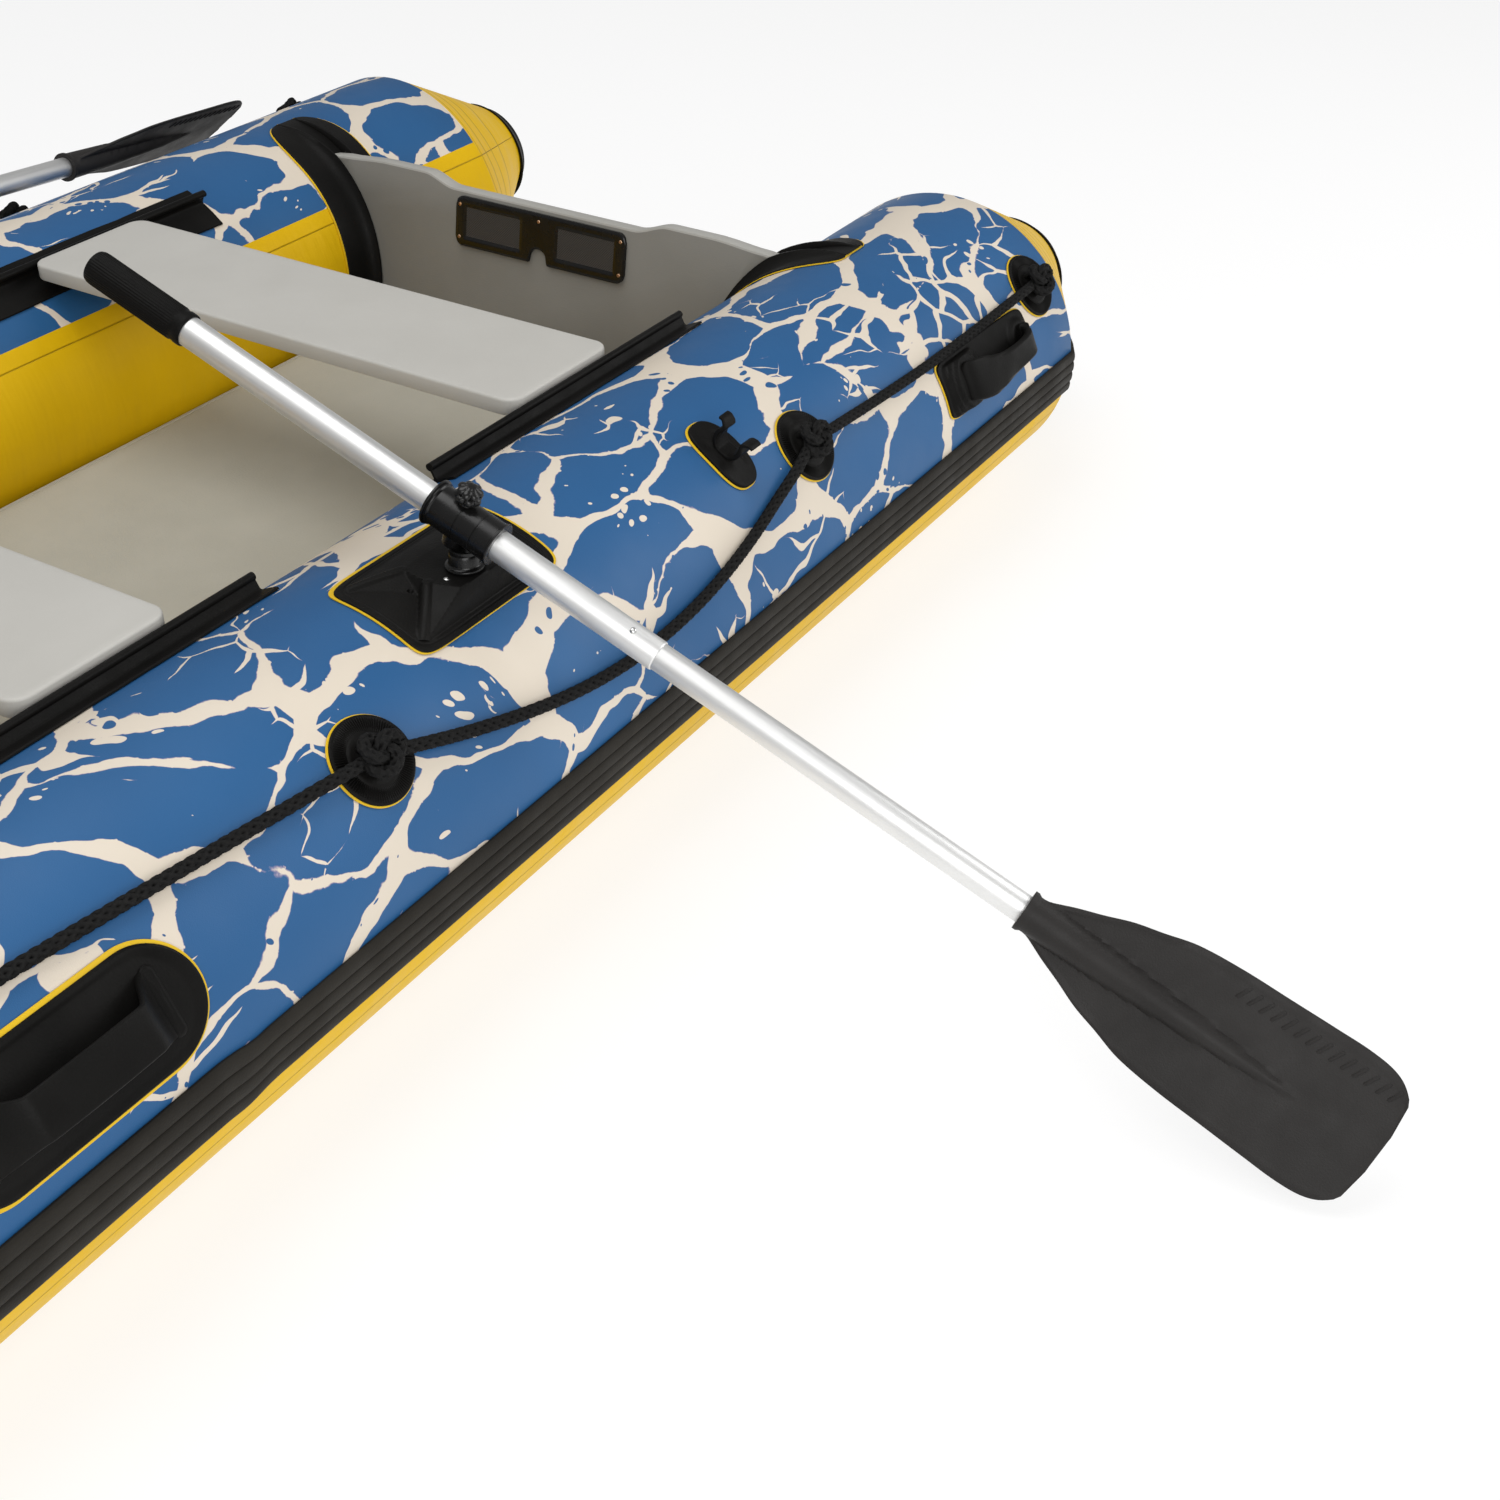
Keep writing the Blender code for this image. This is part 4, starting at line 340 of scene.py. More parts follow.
def printed_fabric():
    """Blue coated fabric with a generic cream vein print of lines, blobs, islands and droplets."""
    look = Look("print_fabric_look", (0.018, 0.132, 0.345), 0.42, 0.35)
    flat = look.flat()
    shifted = look.vector("ADD", flat, (3.1, 1.7, 0.0))
    bent = flat
    for scale, detail, swing in ((3.6, 1.0, (0.22, 0.16, 0.0)), (12.0, 2.0, (0.075, 0.055, 0.0))):
        away = look.vector("SUBTRACT", look.noise(flat, scale, detail, "Color"), (0.5, 0.5, 0.5))
        bent = look.vector("ADD", bent, look.vector("MULTIPLY", away, swing))
    wide = look.vector("MULTIPLY", bent, (5.4, 9.2, 1.0))
    edge = look.cells(wide, 1.0, "DISTANCE_TO_EDGE")
    knot = look.ranged(look.cells(wide, 1.0, "F1"), 0.5, 0.9, 0.0, 0.17)
    ragged = look.drift(flat, 62.0, 3.0, 0.25, 0.75, -0.014, 0.014)
    spurs = look.drift(flat, 120.0, 2.0, 0.62, 0.8, 0.0, 0.03)
    width = look.drift(flat, 5.5, 1.0, 0.34, 0.7, -0.02, 0.08)
    thick = look.calc("ADD", look.calc("ADD", width, knot), look.calc("ADD", ragged, spurs))
    veins = look.calc("SUBTRACT", thick, edge)
    narrow = look.cells(look.vector("MULTIPLY", bent, (14.0, 23.0, 1.0)), 1.0, "DISTANCE_TO_EDGE")
    drops = look.cells(look.vector("ADD", bent, (0.7, 0.2, 0.0)), 34.0, "F1")
    small_width = look.drift(shifted, 5.0, 1.0, 0.46, 0.62, -0.12, 0.085)
    drop_size = look.drift(shifted, 9.0, 1.0, 0.54, 0.7, -0.1, 0.24)
    for size, away in ((small_width, narrow), (drop_size, drops)):
        extra = look.calc("SUBTRACT", look.calc("ADD", size, ragged), away)
        veins = look.calc("MAXIMUM", veins, extra)
    speck = look.cells(look.vector("ADD", bent, (0.3, 0.9, 0.0)), 40.0, "F1")
    hole_size = look.drift(flat, 10.0, 1.0, 0.5, 0.68, -0.1, 0.22)
    hole = look.calc("SUBTRACT", speck, look.calc("ADD", hole_size, ragged))
    share = look.ranged(look.calc("MINIMUM", veins, hole), -0.008, 0.008)
    tone = look.drift(look.here, 3.0, 3.0)
    blue = look.blend(tone, (0.0125, 0.084, 0.222), (0.0172, 0.101, 0.257))
    cream = look.blend(tone, (0.64, 0.565, 0.465), (0.69, 0.615, 0.515))
    fringe = look.blend(look.ranged(share, 0.25, 0.6), blue, (0.25, 0.22, 0.33))
    shade = look.blend(look.ranged(share, 0.55, 0.85), fringe, cream)
    rough = look.drift(look.here, 14.0, 4.0, 0.3, 0.7, 0.42, 0.54)
    grain = look.bump(look.noise(look.here, 900.0, 2.0), 0.00015)
    return look.finish(shade, rough, look.bump(look.noise(look.here, 7.0, 2.0), 0.003, grain))


def plain_fabric():
    """Yellow coated fabric: dark tape seams along the tube, fold lines at the cones darkened as painted
    shade, and fine wrinkles.
    """
    look = Look("yellow_fabric_look", (0.7, 0.43, 0.003), 0.46, 0.1)
    flat = look.flat()
    round_tube = look.node("ShaderNodeSeparateXYZ", {0: flat}).outputs[1]
    aft = look.node("ShaderNodeSeparateXYZ", {0: look.here}).outputs[1]
    lines = [
        (round_tube, math.radians(PRINT_TOP) * RADIUS + SEAM_TOP, 0.0016, 1.0),
        (round_tube, math.radians(SEAM_LOW) * RADIUS, 0.0016, 1.0),
    ]
    # The cone folds are painted shade: their creases are darkened in the colour, as well as bumped.
    for y in CONE_FOLDS:
        lines.append((aft, look.drift(look.here, 5.0, 2.0, 0.3, 0.7, y - 0.012, y + 0.012), 0.004, 0.8))
    seams_and_fold_shade = 0.0
    for across, place, width, strength in lines:
        away = look.calc("ABSOLUTE", look.calc("SUBTRACT", across, place))
        seams_and_fold_shade = look.calc("MAXIMUM", seams_and_fold_shade, look.ranged(away, 0.0, width, strength, 0.0))
    tone = look.drift(look.here, 4.0, 4.0)
    shade = look.blend(tone, (0.67, 0.405, 0.002), (0.73, 0.455, 0.006))
    # Darkens the tape seams, and paints shade into the creases of the cone folds.
    shade = look.blend(look.calc("MULTIPLY", seams_and_fold_shade, 0.8), shade, (0.29, 0.17, 0.006))
    rough = look.drift(look.here, 16.0, 4.0, 0.3, 0.7, 0.38, 0.5)
    normal = look.bump(look.noise(look.here, 900.0, 2.0), 0.00015)
    for stretch, detail, depth in (((24.0, 5.0, 1.0), 3.0, 0.004), ((9.0, 34.0, 1.0), 4.0, 0.0012)):
        folds = look.noise(look.vector("MULTIPLY", flat, stretch), 1.0, detail)
        normal = look.bump(folds, depth, normal)
    return look.finish(shade, rough, look.bump(look.calc("SUBTRACT", 1.0, seams_and_fold_shade), 0.0012, normal))


def brushed(name, colour, roughness):
    """Drawn metal tube: fine lengthwise lines along the piece and faint smudges."""
    look = Look(name, colour, roughness, metallic=1.0)
    lines = look.noise(look.vector("MULTIPLY", look.flat(), (1400.0, 6.0, 1.0)), 1.0)
    shade = look.blend(look.drift(look.here, 18.0, 4.0, 0.4, 0.8, 0.0, 0.4), colour, (0.74, 0.74, 0.73))
    rough = look.ranged(lines, 0.3, 0.7, roughness - 0.07, roughness + 0.08)
    return look.finish(shade, rough, look.bump(lines, 0.00002))


def mesh_panel():
    """The fine woven mesh let into the motor pad."""
    look = Look("mesh_panel_look", (0.016, 0.014, 0.012), 0.6)
    parts = look.node("ShaderNodeSeparateXYZ", {0: look.here})
    across, rise = (look.calc("SINE", look.calc("MULTIPLY", parts.outputs[i], 1700.0)) for i in (0, 2))
    weave = look.ranged(look.calc("MULTIPLY", across, rise), -0.5, 0.5)
    shade = look.blend(weave, (0.01, 0.009, 0.008), (0.055, 0.048, 0.042))
    return look.finish(shade, None, look.bump(weave, 0.0004))


def braid():
    """Black braided cord's fibres; its strands are in its shape."""
    look = Look("black_rope_look", (0.008, 0.008, 0.008), 0.72, 0.16)
    fibre = look.noise(look.vector("MULTIPLY", look.here, (300.0, 300.0, 300.0)), 1.0, 2.0)
    dark, light = (0.0024, 0.0024, 0.0024), (0.012, 0.0116, 0.0112)
    shade = look.blend(look.ranged(fibre, 0.3, 0.7), dark, light)
    return look.finish(shade, look.ranged(fibre, 0.3, 0.7, 0.62, 0.85), look.bump(fibre, 0.0004))


PRINT = printed_fabric()
YELLOW = plain_fabric()
RUBBER, STRAKE, EDGE, PLASTIC, BLADE_PLASTIC, DECK, SEAT, BOARD, BOARD_EDGE = (
    grained(name + "_look", *values) for name, *values in (
        ("black_rubber", (0.0038, 0.0036, 0.0033), (0.0085, 0.0081, 0.0074), 0.46, 420.0, 0.0003, 0.09),
        ("strake_rubber", (0.0148, 0.013, 0.0103), (0.024, 0.0215, 0.0176), 0.6, 420.0, 0.0003, 0.12),
        ("yellow_edge", (0.72, 0.46, 0.006), (0.66, 0.42, 0.012), 0.45, 500.0, 0.0001, 0.3),
        ("black_plastic", (0.0038, 0.0037, 0.0036), (0.007, 0.0068, 0.0066), 0.24, 700.0, 0.0001, 0.36),
        ("blade_plastic", (0.0165, 0.015, 0.0142), (0.024, 0.022, 0.0208), 0.54, 520.0, 0.00025, 0.22),
        ("deck_fabric", (0.42, 0.4, 0.335), (0.46, 0.438, 0.37), 0.66, 330.0, 0.0006, 0.2),
        ("seat_board", (0.47, 0.458, 0.425), (0.5, 0.488, 0.455), 0.46, 620.0, 0.00018, 0.3),
        ("transom_board", (0.205, 0.198, 0.178), (0.222, 0.215, 0.195), 0.55, 520.0, 0.0003, 0.25),
        ("transom_edge", (0.36, 0.352, 0.325), (0.39, 0.382, 0.355), 0.5, 520.0, 0.0002, 0.25),
    )
)
ALUMINIUM = brushed("satin_aluminium_look", (0.84, 0.84, 0.83), 0.46)
STEEL = brushed("steel_look", (0.66, 0.66, 0.65), 0.22)
BRASS = brushed("brass_look", (0.62, 0.33, 0.16), 0.32)
MESH = mesh_panel()
ROPE = braid()


# Mesh building
class Shape:
    """Points and faces gathered before they become a mesh, each face with its material's number."""

    def __init__(self):
        self.points, self.faces, self.kinds = [], [], []
        self.flats, self.around = [], []

    def grid(self, rows, kind=0, closed=False, flats=()):
        first = len(self.points)
        width = len(rows[0])
        for row in rows:
            self.points += [tuple(point) for point in row]
        for row in flats:
            self.flats += row
        for r in range(len(rows) - 1):
            for c in range(width if closed else width - 1):
                a = first + r * width + c
                b = first + r * width + (c + 1) % width
                self.faces.append((a, b, b + width, a + width))
                self.kinds.append(kind(r, c) if callable(kind) else kind)

    def fan(self, ring, kind=0):
        """Close a ring with triangles about its middle."""
        first, count = len(self.points), len(ring)
        middle = sum((Vector(point) for point in ring), Vector()) / count
        self.points += [tuple(point) for point in ring] + [tuple(middle)]
        self.faces += [(first + i, first + (i + 1) % count, first + count) for i in range(count)]
        self.kinds += [kind] * count

    def caps(self, rings):
        """Close the first and last ring with one flat face each."""
        for ring in (rings[0], rings[-1]):
            first = len(self.points)
            self.faces.append(tuple(range(first, first + len(ring))))
            self.kinds.append(0)
            self.points += [tuple(point) for point in ring]
        return self

    def loft(self, rings, kind=0, ends=True):
        self.grid(rings, kind, closed=True)
        if ends:
            self.fan(rings[0], kind)
            self.fan(rings[-1], kind)
        return self

    def turned(self, profile, steps=48, kind=0, place=Matrix(), flutes=None):
        """Turned about +Z from (radius, height) points; flutes scales the radius by the turn."""
        rings = []
        turns = [2 * math.pi * i / steps for i in range(steps)]
        for radius, height in profile:
            ring = []
            for angle in turns:
                reach = max(radius, 1e-5) * (flutes(angle, height) if flutes else 1.0)
                ring.append(place @ Vector((reach * math.cos(angle), reach * math.sin(angle), height)))
            rings.append(ring)
        self.grid(rings, kind, closed=True)
        self.around += turns * len(profile)
        self.around += [0.0] * (len(self.points) - len(self.around))
        return self

    def take(self, other):
        first = len(self.points)
        self.points += other.points
        self.faces += [tuple(i + first for i in face) for face in other.faces]
        self.kinds += other.kinds

    def moved(self, change):
        self.points = [tuple(change(Vector(point))) for point in self.points]
        return self


def add(name, shape, materials, body="hull", place=None, smooth=38.0, tubular=False):
    """Make the piece, put it on its body and let it stand for the node it is named after."""
    mesh = bpy.data.meshes.new("fine_" + name)
    mesh.from_pydata(shape.points, [], shape.faces)
    for material in materials:
        mesh.materials.append(material)
    mesh.polygons.foreach_set("material_index", shape.kinds)
    if shape.flats or tubular:
        layer = mesh.uv_layers.new(name="tube")
        for face in mesh.polygons:
            turns = [] if shape.flats else [shape.around[v] for v in face.vertices]
            for i, (loop, v) in enumerate(zip(face.loop_indices, face.vertices)):
                if shape.flats:
                    layer.data[loop].uv = shape.flats[v]
                else:
                    across = turns[i] + (2 * math.pi if max(turns) - turns[i] > math.pi else 0.0)
                    layer.data[loop].uv = (across * UNROLLED, shape.points[v][2])
    if place is not None:
        mesh.transform(place)
    bm = bmesh.new()
    bm.from_mesh(mesh)
    bmesh.ops.remove_doubles(bm, verts=bm.verts, dist=MERGE)
    bmesh.ops.recalc_face_normals(bm, faces=bm.faces)
    bm.to_mesh(mesh)
    bm.free()
    mesh.shade_smooth()
    mesh.set_sharp_from_angle(angle=math.radians(smooth))
    piece = bpy.data.objects.new("fine_" + name, mesh)
    scene.collection.objects.link(piece)
    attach(piece, body)
    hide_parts(name)
    return piece


def wrapped(shape, side, distance, angle_degrees, lift=PATCH_GAP):
    """Bend points laid out as aft, round and out onto a side tube."""
    middle = math.radians(angle_degrees)
    run = 0.02
    before = tube_point(side, distance - run, middle, RADIUS)
    after = tube_point(side, distance + run, middle, RADIUS)
    stretch = (after - before).length / (2 * run)
    return shape.moved(lambda p: tube_point(
        side, distance - p.x / stretch, middle + p.y / RADIUS, RADIUS + lift + p.z
    ))


def on_tube(side, distance, angle_degrees, lift=PATCH_GAP):
    """A frame that stands on a side tube: X aft, Y round and Z out."""
    angle = math.radians(angle_degrees)
    centre, forward, outboard, up = spine(side, distance)
    out = math.cos(angle) * outboard + math.sin(angle) * up
    aft = -forward
    place = Matrix((aft, out.cross(aft), out)).transposed().to_4x4()
    place.translation = centre + (RADIUS + lift) * out
    return place


def pad_ring(half_u, half_v, power, segments, z=0.0):
    """One ring in the form of a superellipse."""
    ring = []
    for i in range(segments):
        angle = 2 * math.pi * (i + 0.5) / segments
        x, y = math.cos(angle), math.sin(angle)
        reach = 1.0 / (abs(x) ** power + abs(y) ** power) ** (1 / power)
        ring.append(Vector((half_u * reach * x, half_v * reach * y, z)))
    return ring


def edged_pad(outline, height, edge=0.003, shift=(0.0, 0.0), inner=10, bumps=None, border=0.0028):
    """A black pad on a slightly larger yellow layer; outline(inset) gives its ring."""
    shape = Shape()
    moved = Vector((*shift, 0.0))

    def ring(inset, z, offset=moved):
        return [Vector((p.x, p.y, z)) + offset for p in outline(inset)]

    low = [ring(inset, z, Vector()) for inset, z in ((0.0, 0.0), (0.0, 0.0009), (0.0003, 0.0012))]
    shape.grid(low + [ring(edge, 0.0012)], 1, closed=True)
    rings = [
        ring(edge + inset, z) for inset, z in (
            (0.0, 0.0008), (0.0, height * 0.6), (0.0004, height * 0.84), (0.0012, height * 0.96),
            (border, height),
        )
    ]
    last = rings[-1]
    middle = sum(last, Vector()) / len(last)
    for step in range(1, inner + 1):
        share = 1.0 - step / inner * 0.985
        rings.append([middle + share * (p - middle) for p in last])
    if bumps:
        for row in rings[4:]:
            for point in row:
                point.z += bumps(point.x - moved.x, point.y - moved.y)
    shape.grid(rings, 0, closed=True)
    shape.fan(rings[-1])
    return shape


def oval(half_u, half_v, power, segments):
    """An outline for a pad: a superellipse whose half sizes shrink with the inset."""
    return lambda inset: pad_ring(half_u - inset, half_v - inset, power, segments)


def corner_points(half_u, half_v, corner, reach, steps):
    """Points round a rounded rectangle: its corners' middles fixed, their radius free."""
    for quarter, (su, sv) in enumerate(((1, 1), (-1, 1), (-1, -1), (1, -1))):
        for step in range(steps + 1):
            angle = math.pi / 2 * (quarter + step / steps)
            u, v = reach * math.cos(angle), reach * math.sin(angle)
            yield su * (half_u - corner) + u, sv * (half_v - corner) + v


def rounded_ring(half_u, half_v, corner, inset, z, steps=8, middle=(0.0, 0.0)):
    """One ring of a rounded rectangle, drawn in by an inset."""
    points = corner_points(half_u, half_v, corner, corner - inset, steps)
    return [Vector((middle[0] + u, middle[1] + v, z)) for u, v in points]


def rounded_section(half_width, thickness, corner, steps=4):
    """A rounded bar's section as (across, out) points, its outer face at 0."""
    half = thickness / 2
    return [(u, v - half) for u, v in corner_points(half_width, half, corner, corner, steps)]


def strap(shape, path, section, across=False):
    """A bar along (along, out) points in its own plane; section(part) gives (across, out) points."""
    rings = []
    last = len(path) - 1
    for i, (along, out) in enumerate(path):
        before, after = path[max(0, i - 1)], path[min(last, i + 1)]
        run, rise = after[0] - before[0], after[1] - before[1]
        length = math.hypot(run, rise)
        ring = []
        for side, height in section(i / last):
            x, z = along - height * rise / length, out + height * run / length
            ring.append(Vector((side, x, z)) if across else Vector((x, side, z)))
        rings.append(ring)
    shape.loft(rings)


def arch_path(half_span, height, foot, steps, power=0.8):
    """Points over a strap's outer face, from one foot to the other."""
    path = []
    for step in range(steps + 1):
        angle = math.pi * step / steps
        path.append((-math.cos(angle) * half_span, foot + (height - foot) * math.sin(angle) ** power))
    return path


def smooth_path(points, step):
    """A curve through the points, resampled at even steps."""
    fine = []
    count = len(points)
    for i in range(count - 1):
        p0 = points[max(0, i - 1)]
        p1 = points[i]
        p2 = points[i + 1]
        p3 = points[min(count - 1, i + 2)]
        pieces = max(2, int((p2 - p1).length / step * 1.5))
        for k in range(pieces):
            t = k / pieces
            fine.append(0.5 * (
                2 * p1 + (p2 - p0) * t + (2 * p0 - 5 * p1 + 4 * p2 - p3) * t * t
                + (3 * p1 - p0 - 3 * p2 + p3) * t * t * t
            ))
    fine.append(points[-1])
    even = [fine[0]]
    carried = 0.0
    for a, b in zip(fine[:-1], fine[1:]):
        run = (b - a).length
        while carried + run >= step:
            a = a + (b - a) * ((step - carried) / run)
            run = (b - a).length
            carried = 0.0
            even.append(a)
        carried += run
    if (even[-1] - fine[-1]).length > step * 0.3:
        even.append(fine[-1])
    return even


def rope_tube(shape, path, sides=24, kind=0, ends=True):
    """A braided tube along a path: strands cross both ways round it."""
    side = (path[1] - path[0]).normalized().orthogonal().normalized()
    rings = []
    travelled = 0.0
    for i, point in enumerate(path):
        before, after = path[max(0, i - 1)], path[min(len(path) - 1, i + 1)]
        forward = (after - before).normalized()
        side = (side - forward * side.dot(forward)).normalized()
        third = forward.cross(side)
        if i:
            travelled += (point - path[i - 1]).length
        swing = math.pi * travelled / ROPE_PITCH
        ring = []
        for k in range(sides):
            turn = 2 * math.pi * k / sides
            strands = max(abs(math.cos(swing + turn * 2)), abs(math.cos(swing - turn * 2)))
            reach = ROPE_SHOWN * (1.0 - ROPE_DEPTH + ROPE_DEPTH * strands)
            ring.append(point + reach * (math.cos(turn) * side + math.sin(turn) * third))
        rings.append(ring)
    return shape.loft(rings, kind, ends)


# Hull
ROUND = sorted(set(range(-110, 251, 3)) | {PRINT_LOW, PRINT_TOP, 250.0})


def zone(column):
    """Print between the strake and the inboard edge, plain fabric elsewhere."""
    middle = (ROUND[column] + ROUND[column + 1]) / 2
    return 0 if PRINT_LOW < middle < PRINT_TOP else 1


def chamber(name, places, kind):
    """An air chamber through rings given by side, distance, place in the print, radius and lift."""
    rows, flats = [], []
    for side, distance, along, radius, lift in places:
        rows.append([tube_point(side, distance, math.radians(a), radius) + lift * UP for a in ROUND])
        flats.append([(along, math.radians(a) * RADIUS) for a in ROUND])
    shape = Shape()
    shape.grid(rows, kind, flats=flats)
    add(name, shape, [PRINT, YELLOW])


def side_tube(label, side):
    """A side chamber and its cone."""
    straight, coned = 24, 14
    length = CONE_START_Y - JOINT_Y - GAP
    ys = [JOINT_Y] + [JOINT_Y + GAP + length * i / straight for i in range(1, straight + 1)]
    ys += [CONE_START_Y + CONE_LENGTH * i / coned for i in range(1, coned + 1)]
    places = []
    for y in ys:
        share = max(0.0, (y - CONE_START_Y) / CONE_LENGTH)
        radius = RADIUS + (CONE_END_RADIUS - RADIUS) * share
        along = at_y(y) + (0.0 if side > 0 else PRINT_SHIFT)
        places.append((side, at_y(y), along, radius, CONE_RISE * share))
    chamber(label + "_tube", places, lambda r, c: 1 if r >= straight else zone(c))


def bow_tube():
    """The bow chamber, from one chamber joint round to the other."""
    start = at_y(JOINT_Y)
    half = [start, start / 2] + [NOSE * i / 44 for i in range(44)]
    places = [(1, distance, distance, RADIUS, 0.0) for distance in half + [NOSE]]
    places += [(-1, distance, 2 * NOSE - distance, RADIUS, 0.0) for distance in reversed(half)]
    chamber("bow_tube", places, lambda r, c: zone(c))


def bottom_lines(distance):
    """The bottom's glued edge, its crease and its keel, on the port half."""
    edge = tube_point(1, distance, BOTTOM_EDGE, BOTTOM_REACH)
    height = KEEL_Z
    if edge.y < BOTTOM_RISE_Y:
        nose = tube_point(1, NOSE, BOTTOM_EDGE, BOTTOM_REACH)
        height += (nose.z - height) * ((BOTTOM_RISE_Y - edge.y) / (BOTTOM_RISE_Y - nose.y)) ** 2
    keel = Vector((0.0, edge.y, height))
    return edge, edge.lerp(keel, 0.5) - UP * KEEL_Z, keel


def hull_bottom():
    """The bottom skin, glued under both tubes and drawn up to the nose."""
    stations = [at_y(BOTTOM_AFT_Y - 0.1 * i) for i in range(17)]
    stations += [NOSE * i / 40 for i in range(40)]
    rows, flats = [], []
    for distance in sorted(stations):
        edge, crease, keel = bottom_lines(distance)
        turns = [BOTTOM_LAP + (BOTTOM_EDGE - BOTTOM_LAP) * i / 5 for i in range(6)]
        half = [tube_point(1, distance, turn, BOTTOM_REACH) for turn in turns]
        half += [edge.lerp(crease, 0.5), crease, crease.lerp(keel, 0.5), keel]
        row = half + [Vector((-p.x, p.y, p.z)) for p in reversed(half[:-1])]
        rows.append(row)
        flats.append([(distance, p.x + BOTTOM_SHIFT) for p in row])
    shape = Shape()
    shape.grid(rows, flats=flats)
    piece = add("hull_bottom", shape, [YELLOW])
    skin = piece.modifiers.new("skin", "SOLIDIFY")
    skin.thickness = SKIN
    skin.offset = 0.0


def strake_profile(width):
    """Round and out coordinates of the ribbed band."""
    half = width / 2
    points = [(-half, 0.0), (half, 0.0), (half, 0.0026)]
    for rib in range(4):
        middle = half - width * (rib + 0.5) / 4
        for step in range(9):
            angle = math.pi * step / 8
            rise = math.sin(angle) ** 0.55
            points.append((middle + width / 8 * 0.93 * math.cos(angle), 0.003 + 0.003 * rise))
    points.append((-half, 0.0026))
    return points


def rub_strake():
    """The ribbed rubber band round the hull, with its wave where it widens for the bow."""
    start, joint = at_y(CONE_START_Y), at_y(JOINT_Y)
    stations = [start - STRAKE_TAIL * (1 - i / 13) for i in range(13)]
    stations += [start + (joint - 0.07 - start) * i / 20 for i in range(20)]
    stations += [joint - 0.07 + 0.1 * i / 14 for i in range(15)]
    stations += [(joint + 0.03) * (1 - i / 4) for i in range(1, 4)]
    stations += [NOSE * i / 44 for i in range(45)]
    places = [(1, d) for d in stations] + [(-1, d) for d in reversed(stations[:-1])]
    rings = []
    for side, distance in places:
        share = smooth_step(distance, joint - 0.04, joint - 0.004)
        wave = -STRAKE_WAVE * math.sin(math.pi * smooth_step(distance, joint - 0.055, joint + 0.02))
        over = max(0.0, (start - distance) / CONE_LENGTH)
        radius = RADIUS + (CONE_END_RADIUS - RADIUS) * over + PATCH_GAP
        fade = min(1.0, 7.0 * (0.22 - over) + 0.3)
        ring = []
        for v, h in strake_profile(STRAKE_WIDTH + (STRAKE_BOW_WIDTH - STRAKE_WIDTH) * share):
            turn = math.radians(STRAKE_ANGLE) + (v + wave) / RADIUS
            ring.append(tube_point(side, distance, turn, radius + h * fade) + UP * CONE_RISE * over)
        rings.append(ring)
    add("rub_strake", Shape().loft(rings), [STRAKE], smooth=50.0)


def stern_cap(label, side):
    """The moulded cap over the end of a stern cone."""
    lap, wall, inside = 0.023, 0.004, CONE_END_RADIUS + 2 * PATCH_GAP
    mouth = inside + (RADIUS - CONE_END_RADIUS) / CONE_LENGTH * lap
    profile = [
        (0.0, lap), (0.018, lap), (0.0185, lap - 0.0012), (0.035, lap - 0.0012), (0.0445, lap * 0.93),
        (0.05, lap * 0.75), (0.062, lap * 0.42), (0.072, lap * 0.16), (0.0775, 0.0008), (0.078, -0.001),
        (0.0785, -0.004), (mouth + wall, -lap + 0.001), (mouth + wall * 0.6, -lap), (mouth, -lap),
        (inside, 0.0), (0.0, 0.0),
    ]
    place = (
        Matrix.Translation((side * HALF_SPACING, CONE_END_Y + GAP, RADIUS + CONE_RISE))
        @ Matrix.Rotation(math.atan2(CONE_RISE, CONE_LENGTH), 4, "X")
        @ Matrix.Rotation(-math.pi / 2, 4, "X")
    )
    add(label + "_stern_cap", Shape().turned(profile, 96), [RUBBER], place=place)


def air_deck():
    """The inflated floor panel with rounded walls and a lapped edge tape."""
    def outline(inset):
        wide, aft = DECK_HALF_WIDTH - inset, DECK_AFT_Y - inset
        side = [(wide, aft)]
        side += [(wide, min(aft - 0.001, DECK_AFT_Y - 0.03 - i * 0.1)) for i in range(15)]
        side += [(wide, DECK_SHOULDER_Y)]
        reach = DECK_HALF_WIDTH - DECK_NOSE_HALF_WIDTH - inset
        depth = DECK_FORE_Y - DECK_SHOULDER_Y + inset
        for i in range(1, 17):
            angle = math.pi / 2 * i / 16
            side.append((
                DECK_NOSE_HALF_WIDTH + reach * math.cos(angle), DECK_SHOULDER_Y + depth * math.sin(angle)
            ))
        return side + [(-x, y) for x, y in reversed(side)]

    half = DECK_THICKNESS / 2
    levels = [(0.05, -half), (0.02, -half)]
    for degrees in range(-80, 81, 10):
        angle = math.radians(degrees)
        levels.append((0.01 - 0.01 * math.cos(angle), half * math.sin(angle)))
    tape = ((0.012, 0.0006), (0.0135, 0.0002), (0.014, 0.0011), (0.015, 0.0006), (0.02, 0.0002))
    levels += [(inset, half - drop) for inset, drop in (*tape, (0.028, 0.0), (0.029, 0.0))]
    rings = [[Vector((x, y, DECK_TOP - half + z)) for x, y in outline(inset)] for inset, z in levels]
    shape = Shape()
    shape.grid(rings, closed=True)
    add("air_deck", shape.caps(rings), [DECK], smooth=45.0)


def board_place(depth, middle=0.0):
    """The transom board's plane: X across, Y up the board and Z forward, at a depth aft."""
    tilt = math.radians(BOARD_TILT)
    across = Vector((1.0, 0.0, 0.0))
    rise = Vector((0.0, math.sin(tilt), math.cos(tilt)))
    forward = across.cross(rise)
    place = Matrix((across, rise, forward)).transposed().to_4x4()
    place.translation = Vector((0.0, BOARD_Y, RADIUS)) - depth * forward + middle * rise
    return place


